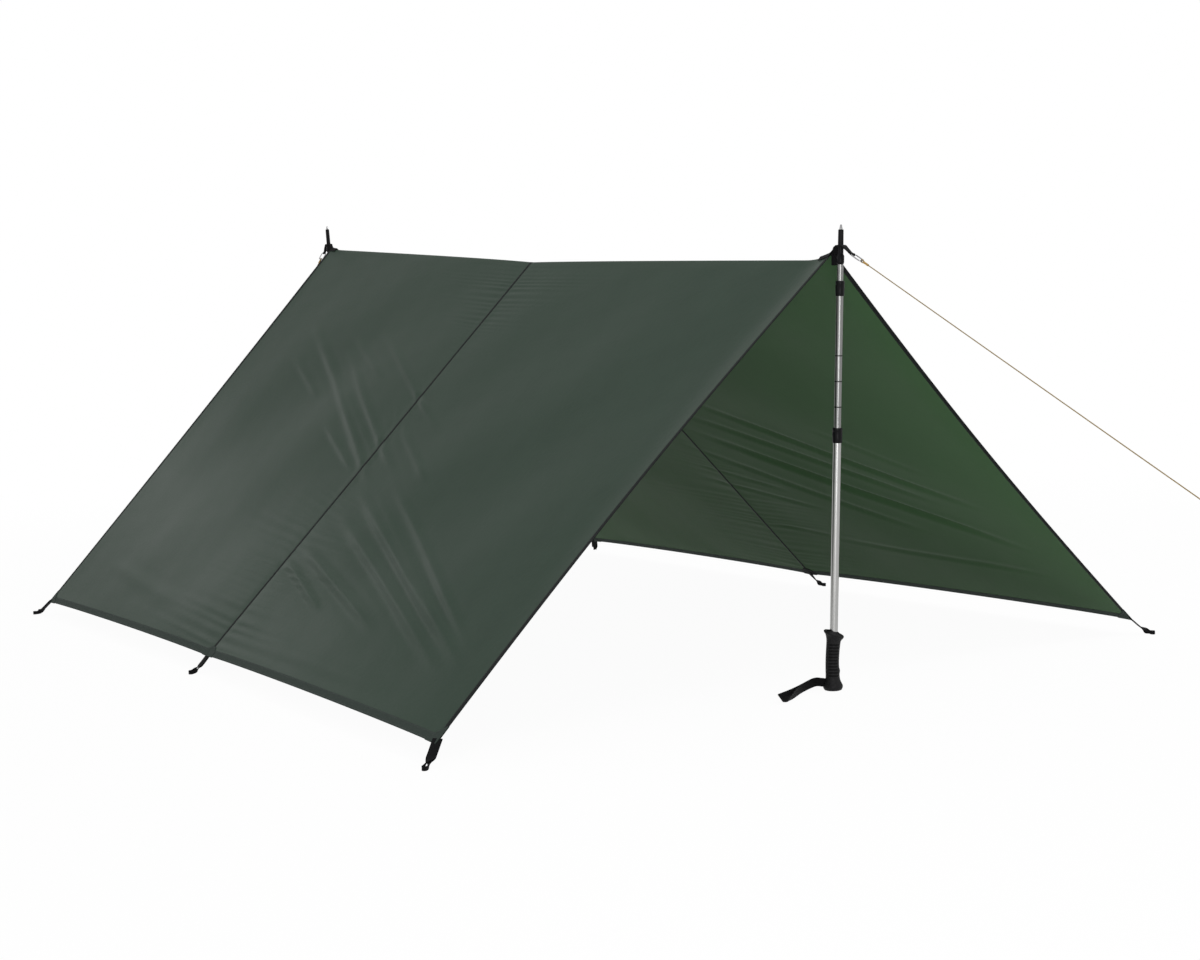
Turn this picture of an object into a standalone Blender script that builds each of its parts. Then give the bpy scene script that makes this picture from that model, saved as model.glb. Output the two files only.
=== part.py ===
"""A camping tarp pitched as an A shelter on two upside-down trekking poles.

Metres, +Z up.  X runs along the ridge, +X to the open front with the lower pole,
-Y is the near slope.  The ground is Z = 0 and the origin lies under the middle.
"""
import math

import bmesh
import bpy
from mathutils import Matrix, Vector

for old in list(bpy.data.objects):
    bpy.data.objects.remove(old, do_unlink=True)

# Clearances
FIT_GAP = 0.0003
RUNNING_GAP = 0.0004

# Tarp cloth: ridge, hems and gable edges
FRONT_APEX_X = 1.262
REAR_APEX_X = -1.250
SEAM_X = 0.005
FRONT_APEX_Z = 0.9857
SEAM_RIDGE_Z = 1.0335
REAR_APEX_Z = 1.1283
FRONT_RIDGE_BOW = 1.10
REAR_RIDGE_BOW = 0.93
FRONT_APEX_LIFT = 0.017
REAR_APEX_LIFT = 0.004
APEX_LIFT_RUN = 0.090
FRONT_CORNER_X = 1.240
REAR_CORNER_X = -1.225
FRONT_CORNER_Y = 1.050
SEAM_HEM_Y = 1.017
REAR_CORNER_Y = 1.027
HEM_Z = 0.040
HEM_LIFT = 0.007
FRONT_GABLE_HOLLOW = 0.028
REAR_GABLE_HOLLOW = 0.010
CLOTH_BELLY = 0.008
FOLD_DEPTH = 0.004
CLOTH_T = 0.0020

# Tapes, patches and webbing sewn to the cloth
TAPE_T = 0.0008
SEAM_WEB = 0.0010
SEAM_TAPE_WIDTH = 0.014
BINDING_WIDTH = 0.012
HEM_WIDTH = 0.020
MID_PATCH_LENGTH = 0.080
MID_PATCH_DEPTH = 0.030
CORNER_PATCH_REACH = 0.045
PATCH_RAISE = 0.0008
WEBBING_T = 0.0013
LOOP_WIDTH = 0.020
LOOP_END_WIDTH = 0.013
LOOP_GAP_RADIUS = 0.0045
CORNER_LOOP_REACH = {1: (0.035, 0.049), -1: (0.050, 0.036)}
MID_LOOP_REACH = {-1: (0.003, 0.053), 1: (0.025, 0.041)}
RIDGE_WEBBING_WIDTH = 0.024
RIDGE_WEBBING_START = 0.040
LINK_WEBBING_WIDTH = 0.0080
TAB_WIDTH = 0.013
TAB_LENGTH = 0.042

# Eyelet, link and guy line at each ridge end
EYELET_LEAN_ROOM = 0.0006
EYELET_FLANGE_R = 0.0105
EYELET_WALL = 0.0008
EYELET_FLANGE_T = 0.0007
LINK_REACH = 0.046
LINK_LENGTH = 0.034
LINK_WIDTH = 0.0175
LINK_CORNER_R = 0.0042
LINK_WIRE = 0.003
CORD_DIAMETER = 0.0022
WHIPPING_FROM = 0.0055
WHIPPING_LENGTH = 0.018
WHIPPING_R = 0.0024
END_LOOP_LENGTH = 0.036
END_LOOP_R = 0.007
KNOT_R = 0.0038
FRONT_GUY_SLOPE = math.radians(27.9)
REAR_GUY_SLOPE = math.radians(36.0)

# Routes of the two taut guy lines from the eyelet, from the whipping to the end loop
FRONT_LINE = [
    (0.08905, 0.0, -0.04716),
    (0.31815, 0.0, -0.16876),
    (0.54795, 0.0, -0.29056),
    (0.77775, 0.0, -0.41216),
    (1.01155, 0.0, -0.53556),
]
REAR_LINE = [
    (-0.08153, 0.0, -0.05924),
    (-0.25073, 0.0, -0.18244),
    (-0.42873, 0.0, -0.31184),
    (-0.60673, 0.0, -0.44104),
    (-0.78473, 0.0, -0.57014),
]

# Trekking poles, measured along the pole from the steel tip
FRONT_TIP_OUT, FRONT_TIP_UP = 0.0270, 0.0763
REAR_TIP_OUT, REAR_TIP_UP = 0.0260, 0.0777
FRONT_TIP = Vector((FRONT_APEX_X + FRONT_TIP_OUT, 0.0, FRONT_APEX_Z + FRONT_TIP_UP))
REAR_TIP = Vector((REAR_APEX_X - REAR_TIP_OUT, 0.0, REAR_APEX_Z + REAR_TIP_UP))
FRONT_LEAN = math.radians(2.84)
REAR_LEAN = math.radians(6.0)
FRONT_EYELET_BELOW_TIP = 0.0475
REAR_EYELET_BELOW_TIP = 0.0625
FRONT_LOWER_SHOWS = 0.0370
TIP_LENGTH = 0.011
TIP_R = 0.0023
FERRULE_TOP_R = 0.0050
FERRULE_CONE_R = 0.0065
FERRULE_CONE_END = 0.0660
BOSS_R = 0.0085
FERRULE_END = 0.088
SPIGOT_LENGTH = 0.030
TUBE_WALL = 0.0007
LOWER_TUBE_R = 0.0070
LOWER_TUBE_LENGTH = 0.440
MIDDLE_TUBE_R = 0.0081
MIDDLE_TUBE_LENGTH = LOWER_TUBE_LENGTH + 0.080
MIDDLE_SHOWS = 0.297
UPPER_TUBE_R = 0.0092
COLLAR_LENGTH = 0.034
COLLAR_WALL = 0.0018
COLLAR_LIP = 0.0030
LOCK_INSERT_LENGTH = 0.025
LOCK_STUD_R = 0.0025
LOCK_STUD_LENGTH = 0.048
LOCK_PLUG_LENGTH = 0.036
GRIP_LENGTH = 0.143
GRIP_BODY_R = 0.0147
GRIP_RIBS = 11
GRIP_RIB_DEPTH = 0.0006
GRIP_FLOOR = 0.018
STRAP_T = 0.0013
STRAP_WIDTH = 0.019
STRAP_GAP = 0.0015

# Facets round a turned piece
FINE = 16
SMALL = 12
CORD_SIDES = 8


def material(name, colour, roughness, metallic=0.0):
    """One Principled material per finish, shared by the pieces that have it."""
    found = bpy.data.materials.get(name)
    if found:
        return found
    made = bpy.data.materials.new(name)
    made.use_nodes = True
    shader = made.node_tree.nodes["Principled BSDF"]
    shader.inputs["Base Color"].default_value = (*colour, 1.0)
    shader.inputs["Roughness"].default_value = roughness
    shader.inputs["Metallic"].default_value = metallic
    made.diffuse_color = (*colour, 1.0)
    return made


CLOTH = material("coated_cloth", (0.055, 0.078, 0.062), 0.55)
TAPE = material("slate_tape", (0.028, 0.034, 0.038), 0.75)
WEBBING = material("black_webbing", (0.012, 0.012, 0.013), 0.85)
ALUMINIUM = material("anodised_aluminium", (0.62, 0.64, 0.66), 0.32, 1.0)
STEEL = material("steel", (0.55, 0.56, 0.58), 0.28, 1.0)
PLASTIC = material("black_plastic", (0.015, 0.015, 0.017), 0.45)
RUBBER = material("grip_rubber", (0.013, 0.013, 0.015), 0.70)
CORD = material("gold_cord", (0.55, 0.36, 0.10), 0.60)


def add_object(name, verts, faces, finish, parent=None, smooth_angle=40.0):
    """A closed mesh object with outward faces, smooth where it is round."""
    mesh = bpy.data.meshes.new(name)
    mesh.from_pydata([tuple(v) for v in verts], [], faces)
    bm = bmesh.new()
    bm.from_mesh(mesh)
    bmesh.ops.remove_doubles(bm, verts=bm.verts, dist=1e-7)
    bmesh.ops.recalc_face_normals(bm, faces=bm.faces)
    bm.to_mesh(mesh)
    bm.free()
    mesh.materials.append(finish)
    mesh.shade_smooth()
    mesh.set_sharp_from_angle(angle=math.radians(smooth_angle))
    piece = bpy.data.objects.new(name, mesh)
    bpy.context.scene.collection.objects.link(piece)
    piece.parent = parent
    return piece


def loft(rings, closed=False):
    """Skin a row of equal rings; an open row is capped at both ends."""
    count = len(rings[0])
    verts = [point for ring in rings for point in ring]
    faces = []
    for i in range(len(rings) if closed else len(rings) - 1):
        a = i * count
        b = (i + 1) % len(rings) * count
        for k in range(count):
            n = (k + 1) % count
            faces.append((a + k, a + n, b + n, b + k))
    if not closed:
        faces.append(tuple(range(count)))
        faces.append(tuple(range((len(rings) - 1) * count, len(rings) * count)))
    return verts, faces


def turned(profile, sides):
    """Turn a closed profile of (radius, height) points about local Z."""
    on_axis = profile[0][0] == 0.0
    rings = []
    for k in range(sides):
        angle = 2 * math.pi * k / sides
        rings.append([Vector((r * math.cos(angle), r * math.sin(angle), z)) for r, z in profile])
    verts = [point for ring in rings for point in ring]
    count = len(profile)
    faces = []
    for k in range(sides):
        a = k * count
        b = (k + 1) % sides * count
        for i in range(count - 1 if on_axis else count):
            n = (i + 1) % count
            quad = (a + i, a + n, b + n, b + i)
            if profile[i][0] == 0.0:
                quad = (a + i, a + n, b + n)
            elif profile[n][0] == 0.0:
                quad = (a + i, a + n, b + i)
            faces.append(quad)
    return verts, faces


def smooth_route(points, count):
    """Points at even steps of a Catmull-Rom curve through the route's own points."""
    route = [Vector(p) for p in points]
    route = [2 * route[0] - route[1], *route, 2 * route[-1] - route[-2]]
    spans = len(route) - 3
    made = []
    for i in range(count):
        at = i / (count - 1) * spans
        k = min(int(at), spans - 1)
        t = at - k
        a, b, c, d = route[k : k + 4]
        made.append(
            0.5 * (2 * b + (c - a) * t + (2 * a - 5 * b + 4 * c - d) * t * t + (3 * b - a - 3 * c + d) * t**3)
        )
    return made


def smooth_step(t):
    t = min(max(t, 0.0), 1.0)
    return t * t * (3 - 2 * t)


# Cloth surface: two panels each side of the ridge, joined at the centre seam

SEAM_HALF_GAP = SEAM_WEB / 2 + FIT_GAP
APEX_X = {1: FRONT_APEX_X, -1: REAR_APEX_X}
APEX_Z = {1: FRONT_APEX_Z, -1: REAR_APEX_Z}
RIDGE_BOW = {1: FRONT_RIDGE_BOW, -1: REAR_RIDGE_BOW}
APEX_LIFT = {1: FRONT_APEX_LIFT, -1: REAR_APEX_LIFT}
CORNER_X = {1: FRONT_CORNER_X, -1: REAR_CORNER_X}
CORNER_Y = {1: FRONT_CORNER_Y, -1: REAR_CORNER_Y}
GABLE_HOLLOW = {1: FRONT_GABLE_HOLLOW, -1: REAR_GABLE_HOLLOW}
FOLD_TURNS = {(1, -1): (1.4, 1.7), (1, 1): (1.2, -2.1), (-1, -1): (-1.6, 1.5), (-1, 1): (1.3, 1.8)}


def ridge_height(end, u):
    rise = APEX_Z[end] - SEAM_RIDGE_Z
    run = abs(APEX_X[end] - SEAM_X)
    lift = max(0.0, 1 - (1 - u) * run / APEX_LIFT_RUN)
    return SEAM_RIDGE_Z + rise * u ** RIDGE_BOW[end] + APEX_LIFT[end] * lift**2


def cloth_point(end, side, u, v):
    """The cloth's outer face, u from the seam to the gable and v from ridge to hem."""
    seam_x = SEAM_X + end * SEAM_HALF_GAP
    top = Vector((seam_x + (APEX_X[end] - seam_x) * u, side * FIT_GAP / 2, ridge_height(end, u)))
    low = Vector(
        (
            seam_x + (CORNER_X[end] - seam_x) * u,
            side * (SEAM_HEM_Y + (CORNER_Y[end] - SEAM_HEM_Y) * u),
            HEM_Z + HEM_LIFT * math.sin(math.pi * u) ** 0.5 if 0 < u < 1 else HEM_Z,
        )
    )
    point = top.lerp(low, v)
    point.x -= end * GABLE_HOLLOW[end] * math.sin(math.pi * v) * u**3
    slack = math.sin(math.pi * min(max(u, 0.0), 1.0)) * math.sin(math.pi * v)
    along, down = FOLD_TURNS[end, side]
    fold = FOLD_DEPTH * math.sin(2 * math.pi * (along * u + down * v)) - CLOTH_BELLY
    slope = Vector((0.0, low.y - top.y, low.z - top.z)).normalized()
    out = Vector((0.0, -slope.z * side, abs(slope.y)))
    return point + out * fold * slack


def even(first, last, cells):
    return [first + (last - first) * i / cells for i in range(1, cells)]


def cloth_lines(end):
    """Grid lines of a panel: each tape and patch edge has a line of its own."""
    run = abs(APEX_X[end] - SEAM_X)
    slope = math.hypot(SEAM_HEM_Y, SEAM_RIDGE_Z - HEM_Z)
    u = [0.0, SEAM_TAPE_WIDTH / 2 / run, MID_PATCH_LENGTH / 2 / run]
    patch = 1 - CORNER_PATCH_REACH / run
    u += [*even(u[-1], patch, 9), patch, 1 - BINDING_WIDTH / run, 1.0]
    patch = 1 - CORNER_PATCH_REACH / slope
    v = [0.0, *even(0.0, patch, 12), patch, 1 - MID_PATCH_DEPTH / slope, 1 - HEM_WIDTH / slope, 1.0]
    return u, v


COLUMN = {"seam": 0, "seam_tape": 1, "mid_patch": 2, "patch": -3, "binding": -2, "edge": -1}
ROW = {"patch": -4, "mid_patch": -3, "hem": -2, "edge": -1}


def cloth_grid(end, side):
    """Outer points and their normals, which the panels and all tapes share."""
    u, v = cloth_lines(end)
    points = [[cloth_point(end, side, a, b) for b in v] for a in u]
    normals = []
    for i in range(len(u)):
        column = []
        for j in range(len(v)):
            along = points[min(i + 1, len(u) - 1)][j] - points[max(i - 1, 0)][j]
            down = points[i][min(j + 1, len(v) - 1)] - points[i][max(j - 1, 0)]
            normal = along.cross(down).normalized()
            if normal.z < 0:
                normal.negate()
            if i == COLUMN["seam"]:
                normal = Vector((0.0, normal.y, normal.z)).normalized()
            if j == 0:
                normal = Vector((0.0, 0.0, math.hypot(down.y, down.z) / abs(down.y)))
            column.append(normal)
        normals.append(column)
    return points, normals


GRID = {(end, side): cloth_grid(end, side) for end in (1, -1) for side in (-1, 1)}


def add_panel(name, end, side):
    points, normals = GRID[end, side]
    columns, rows = len(points), len(points[0])
    outer = [points[i][j] for i in range(columns) for j in range(rows)]
    inner = [points[i][j] - normals[i][j] * CLOTH_T for i in range(columns) for j in range(rows)]
    faces = []
    below = columns * rows
    for i in range(columns - 1):
        for j in range(rows - 1):
            a, b = i * rows + j, (i + 1) * rows + j
            faces.append((a, a + 1, b + 1, b))
            faces.append((below + a, below + b, below + b + 1, below + a + 1))
    rim = [j for j in range(rows)]
    rim += [i * rows + rows - 1 for i in range(1, columns)]
    rim += [(columns - 1) * rows + j for j in range(rows - 2, -1, -1)]
    rim += [i * rows for i in range(columns - 2, 0, -1)]
    for k, a in enumerate(rim):
        b = rim[(k + 1) % len(rim)]
        faces.append((a, b, below + b, below + a))
    return add_object(name, outer + inner, faces, CLOTH)


def folded_tape(inner, edge, inner_normal, edge_normal, clear):
    """Section of a tape folded round the cloth's edge, clear of its faces by clear."""
    out = (edge - inner).normalized()
    near = clear
    far = clear + TAPE_T
    return [
        inner + inner_normal * far,
        edge + out * far + edge_normal * far,
        edge + out * far - edge_normal * (CLOTH_T + far),
        inner - inner_normal * (CLOTH_T + far),
        inner - inner_normal * (CLOTH_T + near),
        edge + out * near - edge_normal * (CLOTH_T + near),
        edge + out * near + edge_normal * near,
        inner + inner_normal * near,
    ]


def between_rows(end, side, column, row, share):
    """A point and normal on the facet between a row and the row above it."""
    points, normals = GRID[end, side]
    low, high = points[column][row], points[column][row - 1]
    return low.lerp(high, share), normals[column][row].lerp(normals[column][row - 1], share)


def above_hem(end, side):
    """Share of the facet above the hem tape that keeps a fit gap from its edge."""
    points, _ = GRID[end, side]
    return FIT_GAP * 1.5 / (points[0][ROW["hem"]] - points[0][ROW["hem"] - 1]).length


def add_gable_binding(name, end):
    """Narrow tape folded over the gable edge, from hem to hem across the ridge."""
    rings = []
    for side in (-1, 1):
        points, normals = GRID[end, side]
        share = above_hem(end, side)
        inner, inner_normal = between_rows(end, side, COLUMN["binding"], ROW["hem"], share)
        edge, edge_normal = between_rows(end, side, COLUMN["edge"], ROW["hem"], share)
        half = [folded_tape(inner, edge, inner_normal, edge_normal, FIT_GAP)]
        for j in range(len(points[0]) + ROW["hem"] - 1, 0, -1):
            half.append(
                folded_tape(
                    points[COLUMN["binding"]][j], points[COLUMN["edge"]][j],
                    normals[COLUMN["binding"]][j], normals[COLUMN["edge"]][j], FIT_GAP,
                )
            )
        rings += half if side == -1 else half[::-1]
        if side == -1:
            level = Vector((1.0, 0.0, 1.0))
            rings.append(
                folded_tape(
                    points[COLUMN["binding"]][0] * level, points[COLUMN["edge"]][0] * level,
                    normals[COLUMN["binding"]][0], normals[COLUMN["edge"]][0], FIT_GAP,
                )
            )
    return add_object(name, *loft(rings), TAPE)


def add_hem(name, side):
    """Wide tape folded round the hem, in one length under both panels."""
    rings = []
    for end in (-1, 1):
        points, normals = GRID[end, side]
        columns = range(len(points))
        for i in reversed(columns) if end == -1 else columns:
            rings.append(
                folded_tape(
                    points[i][ROW["hem"]], points[i][ROW["edge"]],
                    normals[i][ROW["hem"]], normals[i][ROW["edge"]], FIT_GAP,
                )
            )
    return add_object(name, *loft(rings), TAPE)


def seam_section(rear, front, rear_tape, front_tape, normals):
    """Section of the seam: a strip above and one below the cloth, and the web between."""
    middle = (rear + front) / 2
    normal, rear_normal, front_normal = normals
    web = Vector((SEAM_WEB / 2, 0.0, 0.0))
    near = FIT_GAP
    far = FIT_GAP + TAPE_T
    under = CLOTH_T + near
    return [
        rear_tape + rear_normal * far,
        middle + normal * far,
        front_tape + front_normal * far,
        front_tape + front_normal * near,
        middle + web + normal * near,
        middle + web - normal * under,
        front_tape - front_normal * under,
        front_tape - front_normal * (under + TAPE_T),
        middle - normal * (under + TAPE_T),
        rear_tape - rear_normal * (under + TAPE_T),
        rear_tape - rear_normal * under,
        middle - web - normal * under,
        middle - web + normal * near,
        rear_tape + rear_normal * near,
    ]


def add_centre_seam(name):
    """Taped seam that joins front and rear panels, from hem to hem over the ridge."""
    level = Vector((1.0, 0.0, 1.0))
    lines = [(-1, "seam"), (1, "seam"), (-1, "seam_tape"), (1, "seam_tape")]
    rings = []
    for side in (-1, 1):
        spots = [
            between_rows(end, side, COLUMN[line], ROW["hem"], above_hem(end, side)) for end, line in lines
        ]
        places = [place for place, _ in spots]
        half = [seam_section(*places, (spots[0][1], spots[2][1], spots[3][1]))]
        for j in range(len(GRID[1, side][0][0]) + ROW["hem"] - 1, -1, -1):
            places = [GRID[end, side][0][COLUMN[line]][j] for end, line in lines]
            directions = [GRID[end, side][1][COLUMN[line]][j] for end, line in lines]
            if j == 0:
                places = [place * level for place in places]
            half.append(seam_section(*places, (directions[0], directions[2], directions[3])))
        rings += half if side == -1 else half[-2::-1]
    return add_object(name, *loft(rings), TAPE)


PATCH_CLEAR = FIT_GAP + TAPE_T + FIT_GAP


def add_mid_patch(name, side):
    """Patch folded over the hem where the seam meets it, to carry the middle loop."""
    rings = []
    for end in (-1, 1):
        points, normals = GRID[end, side]
        columns = range(COLUMN["mid_patch"] + 1)
        for i in reversed(columns) if end == -1 else columns:
            rings.append(
                folded_tape(
                    points[i][ROW["mid_patch"]], points[i][ROW["edge"]],
                    normals[i][ROW["mid_patch"]], normals[i][ROW["edge"]], PATCH_CLEAR,
                )
            )
    add_object(name, *loft(rings), WEBBING)
    return rings


def add_corner_patch(name, end, side):
    """Three-cornered patch on the outside of a ground corner, over hem and binding."""
    points, normals = GRID[end, side]
    corners = [(COLUMN["edge"], ROW["edge"]), (COLUMN["patch"], ROW["edge"]), (COLUMN["edge"], ROW["patch"])]
    places = [points[i][j] for i, j in corners]
    directions = [normals[i][j] for i, j in corners]
    places.insert(2, (places[1] + places[2]) / 2)
    directions.insert(2, directions[0])
    low = PATCH_CLEAR + PATCH_RAISE
    rings = [
        [place + direction * height for place, direction in zip(places, directions)]
        for height in (low, low + TAPE_T)
    ]
    add_object(name, *loft(rings), TAPE)


add_panel("front_near_panel", 1, -1)
add_panel("front_far_panel", 1, 1)
add_panel("rear_near_panel", -1, -1)
add_panel("rear_far_panel", -1, 1)
add_centre_seam("centre_seam")
add_gable_binding("front_gable_binding", 1)
add_gable_binding("rear_gable_binding", -1)
add_hem("near_hem_tape", -1)
add_hem("far_hem_tape", 1)
mid_patch_rings = {-1: add_mid_patch("near_mid_patch", -1), 1: add_mid_patch("far_mid_patch", 1)}
for end, end_name in ((1, "front"), (-1, "rear")):
    for side, side_name in ((-1, "near"), (1, "far")):
        add_corner_patch(f"{end_name}_{side_name}_patch", end, side)


# Ground loops: doubled webbing, turned a quarter so that a peg drops through it


def bezier(p0, p1, p2, p3, t):
    """Point and unit tangent of a cubic Bezier curve."""
    s = 1 - t
    point = p0 * s**3 + p1 * 3 * s * s * t + p2 * 3 * s * t * t + p3 * t**3
    tangent = (p1 - p0) * s * s + (p2 - p1) * 2 * s * t + (p3 - p2) * t * t
    return point, tangent.normalized()


def in_triangles(verts, faces, ridge_way):
    """Each four-sided face of a twisted band as two plane triangles.

    The split is the diagonal that lies further along ridge_way, so that all faces of both
    layers bend alike and keep their distance."""
    plane = []
    for a, b, c, d in faces:
        first = Vector(verts[a]) + Vector(verts[c])
        second = Vector(verts[b]) + Vector(verts[d])
        if (first - second).dot(ridge_way) < 0:
            a, b, c, d = b, c, d, a
        plane += [(a, b, c), (a, c, d)]
    return verts, plane


def add_ground_loop(name, corner, outward, tip_reach, keep_clear):
    """Hairpin of webbing from the hem down to the ground, twisted a quarter turn."""
    tip = Vector((corner.x + tip_reach.x, corner.y + tip_reach.y, LOOP_END_WIDTH / 2))
    fall = corner.z - tip.z
    level = math.hypot(tip.x - corner.x, tip.y - corner.y)
    away = Vector((outward.x * level, outward.y * level, -fall)).normalized()
    start = max((point - corner).dot(away) for point in keep_clear) + FIT_GAP
    root = corner + away * start
    end_way = Vector((tip.x - corner.x, tip.y - corner.y, 0.0)).normalized()
    end_radius = LOOP_GAP_RADIUS + WEBBING_T / 2
    centre = tip - end_way * (end_radius + WEBBING_T / 2)
    hull = (root, root + away * level * 0.30, centre - end_way * level * 0.35, centre)
    layer = (WEBBING_T + FIT_GAP) / 2
    legs = []
    steps = 10
    for i in range(steps):
        share = i / (steps - 1)
        place, way = bezier(*hull, share)
        across = Vector((-way.y, way.x, 0.0)).normalized()
        over = way.cross(across)
        turn = math.pi / 2 * smooth_step(share / 0.75)
        layer_way = over * math.cos(turn) - across * math.sin(turn)
        width_way = across * math.cos(turn) + over * math.sin(turn)
        opening = layer + (end_radius - layer) * smooth_step((share - 0.45) / 0.55)
        half_width = (LOOP_WIDTH + (LOOP_END_WIDTH - LOOP_WIDTH) * smooth_step(share)) / 2
        legs.append((place, layer_way, width_way, opening, half_width))
    rings = [
        band_section(place + layer_way * opening, layer_way, width_way, half_width)
        for place, layer_way, width_way, opening, half_width in legs
    ]
    for i in range(1, 6):
        angle = math.pi / 2 - math.pi * i / 6
        radial = way * math.cos(angle) + layer_way * math.sin(angle)
        rings.append(band_section(centre + radial * end_radius, radial, width_way, LOOP_END_WIDTH / 2))
    rings += [
        band_section(place - layer_way * opening, -layer_way, width_way, half_width)
        for place, layer_way, width_way, opening, half_width in reversed(legs)
    ]
    ridge_way = legs[0][1] + legs[-1][1]
    return add_object(name, *in_triangles(*loft(rings), ridge_way), WEBBING)


def band_section(middle, through, across, half_width):
    """Four corners of a flat band, through its thickness and across its width."""
    step = through * WEBBING_T / 2
    return [
        middle + step - across * half_width,
        middle + step + across * half_width,
        middle - step + across * half_width,
        middle - step - across * half_width,
    ]


for end, end_name in ((1, "front"), (-1, "rear")):
    for side, side_name in ((-1, "near"), (1, "far")):
        points, normals = GRID[end, side]
        corner = points[COLUMN["edge"]][ROW["edge"]] - normals[COLUMN["edge"]][ROW["edge"]] * CLOTH_T / 2
        ahead, aside = CORNER_LOOP_REACH[end]
        reach = Vector((end * ahead, side * aside, 0.0))
        edge_section = folded_tape(
            points[COLUMN["edge"]][ROW["hem"]], points[COLUMN["edge"]][ROW["edge"]],
            normals[COLUMN["edge"]][ROW["hem"]], normals[COLUMN["edge"]][ROW["edge"]], FIT_GAP,
        )
        add_ground_loop(f"{end_name}_{side_name}_loop", corner, reach.normalized(), reach, edge_section)
for side, side_name in ((-1, "near"), (1, "far")):
    points = [GRID[end, side][0][COLUMN["seam"]][ROW["edge"]] for end in (1, -1)]
    middle = (points[0] + points[1]) / 2 - GRID[1, side][1][COLUMN["seam"]][ROW["edge"]] * CLOTH_T / 2
    edge_section = [point for ring in mid_patch_rings[side][2:4] for point in ring]
    ahead, aside = MID_LOOP_REACH[side]
    reach = Vector((ahead, side * aside, 0.0))
    add_ground_loop(f"mid_{side_name}_loop", middle, Vector((0.0, side, 0.0)), reach, edge_section)


# Ridge ends: webbing with an eyelet for the pole, an oval link and the guy line's eye

TIP = {1: FRONT_TIP, -1: REAR_TIP}
GUY_SLOPE = {1: FRONT_GUY_SLOPE, -1: REAR_GUY_SLOPE}
LEAN = {1: FRONT_LEAN, -1: REAR_LEAN}
EYELET_BELOW_TIP = {1: FRONT_EYELET_BELOW_TIP, -1: REAR_EYELET_BELOW_TIP}
POLE_UP = {end: Vector((end * math.sin(LEAN[end]), 0.0, math.cos(LEAN[end]))) for end in (1, -1)}
EYELET = {end: TIP[end] - POLE_UP[end] * EYELET_BELOW_TIP[end] for end in (1, -1)}
GUY_WAY = {end: Vector((end * math.cos(angle), 0.0, -math.sin(angle))) for end, angle in GUY_SLOPE.items()}
GUY_UP = {end: Vector((end * math.sin(angle), 0.0, math.cos(angle))) for end, angle in GUY_SLOPE.items()}
ACROSS = Vector((0.0, 1.0, 0.0))
EYELET_STACK = FIT_GAP / 2 + WEBBING_T


def eyelet_bore(end):
    """Bore that seats the ferrule's taper, with room for the pole to lean."""
    low = EYELET_BELOW_TIP[end] + EYELET_STACK + FIT_GAP + EYELET_FLANGE_T
    taper = (FERRULE_CONE_R - FERRULE_TOP_R) / (FERRULE_CONE_END - TIP_LENGTH)
    return FERRULE_TOP_R + taper * (low - TIP_LENGTH) + EYELET_LEAN_ROOM


def webbing_section(middle, way, end, half_width, fold):
    """Band section square to its way in the XZ plane, its sides folded down by fold."""
    up = Vector((-end * way.z, 0.0, end * way.x))
    rise = up * WEBBING_T / 2 / math.cos(fold)
    side = ACROSS * half_width * math.cos(fold)
    drop = up * half_width * math.sin(fold)
    return [
        middle + rise - side - drop,
        middle + rise,
        middle + rise + side - drop,
        middle - rise + side - drop,
        middle - rise,
        middle - rise - side - drop,
    ]


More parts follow.
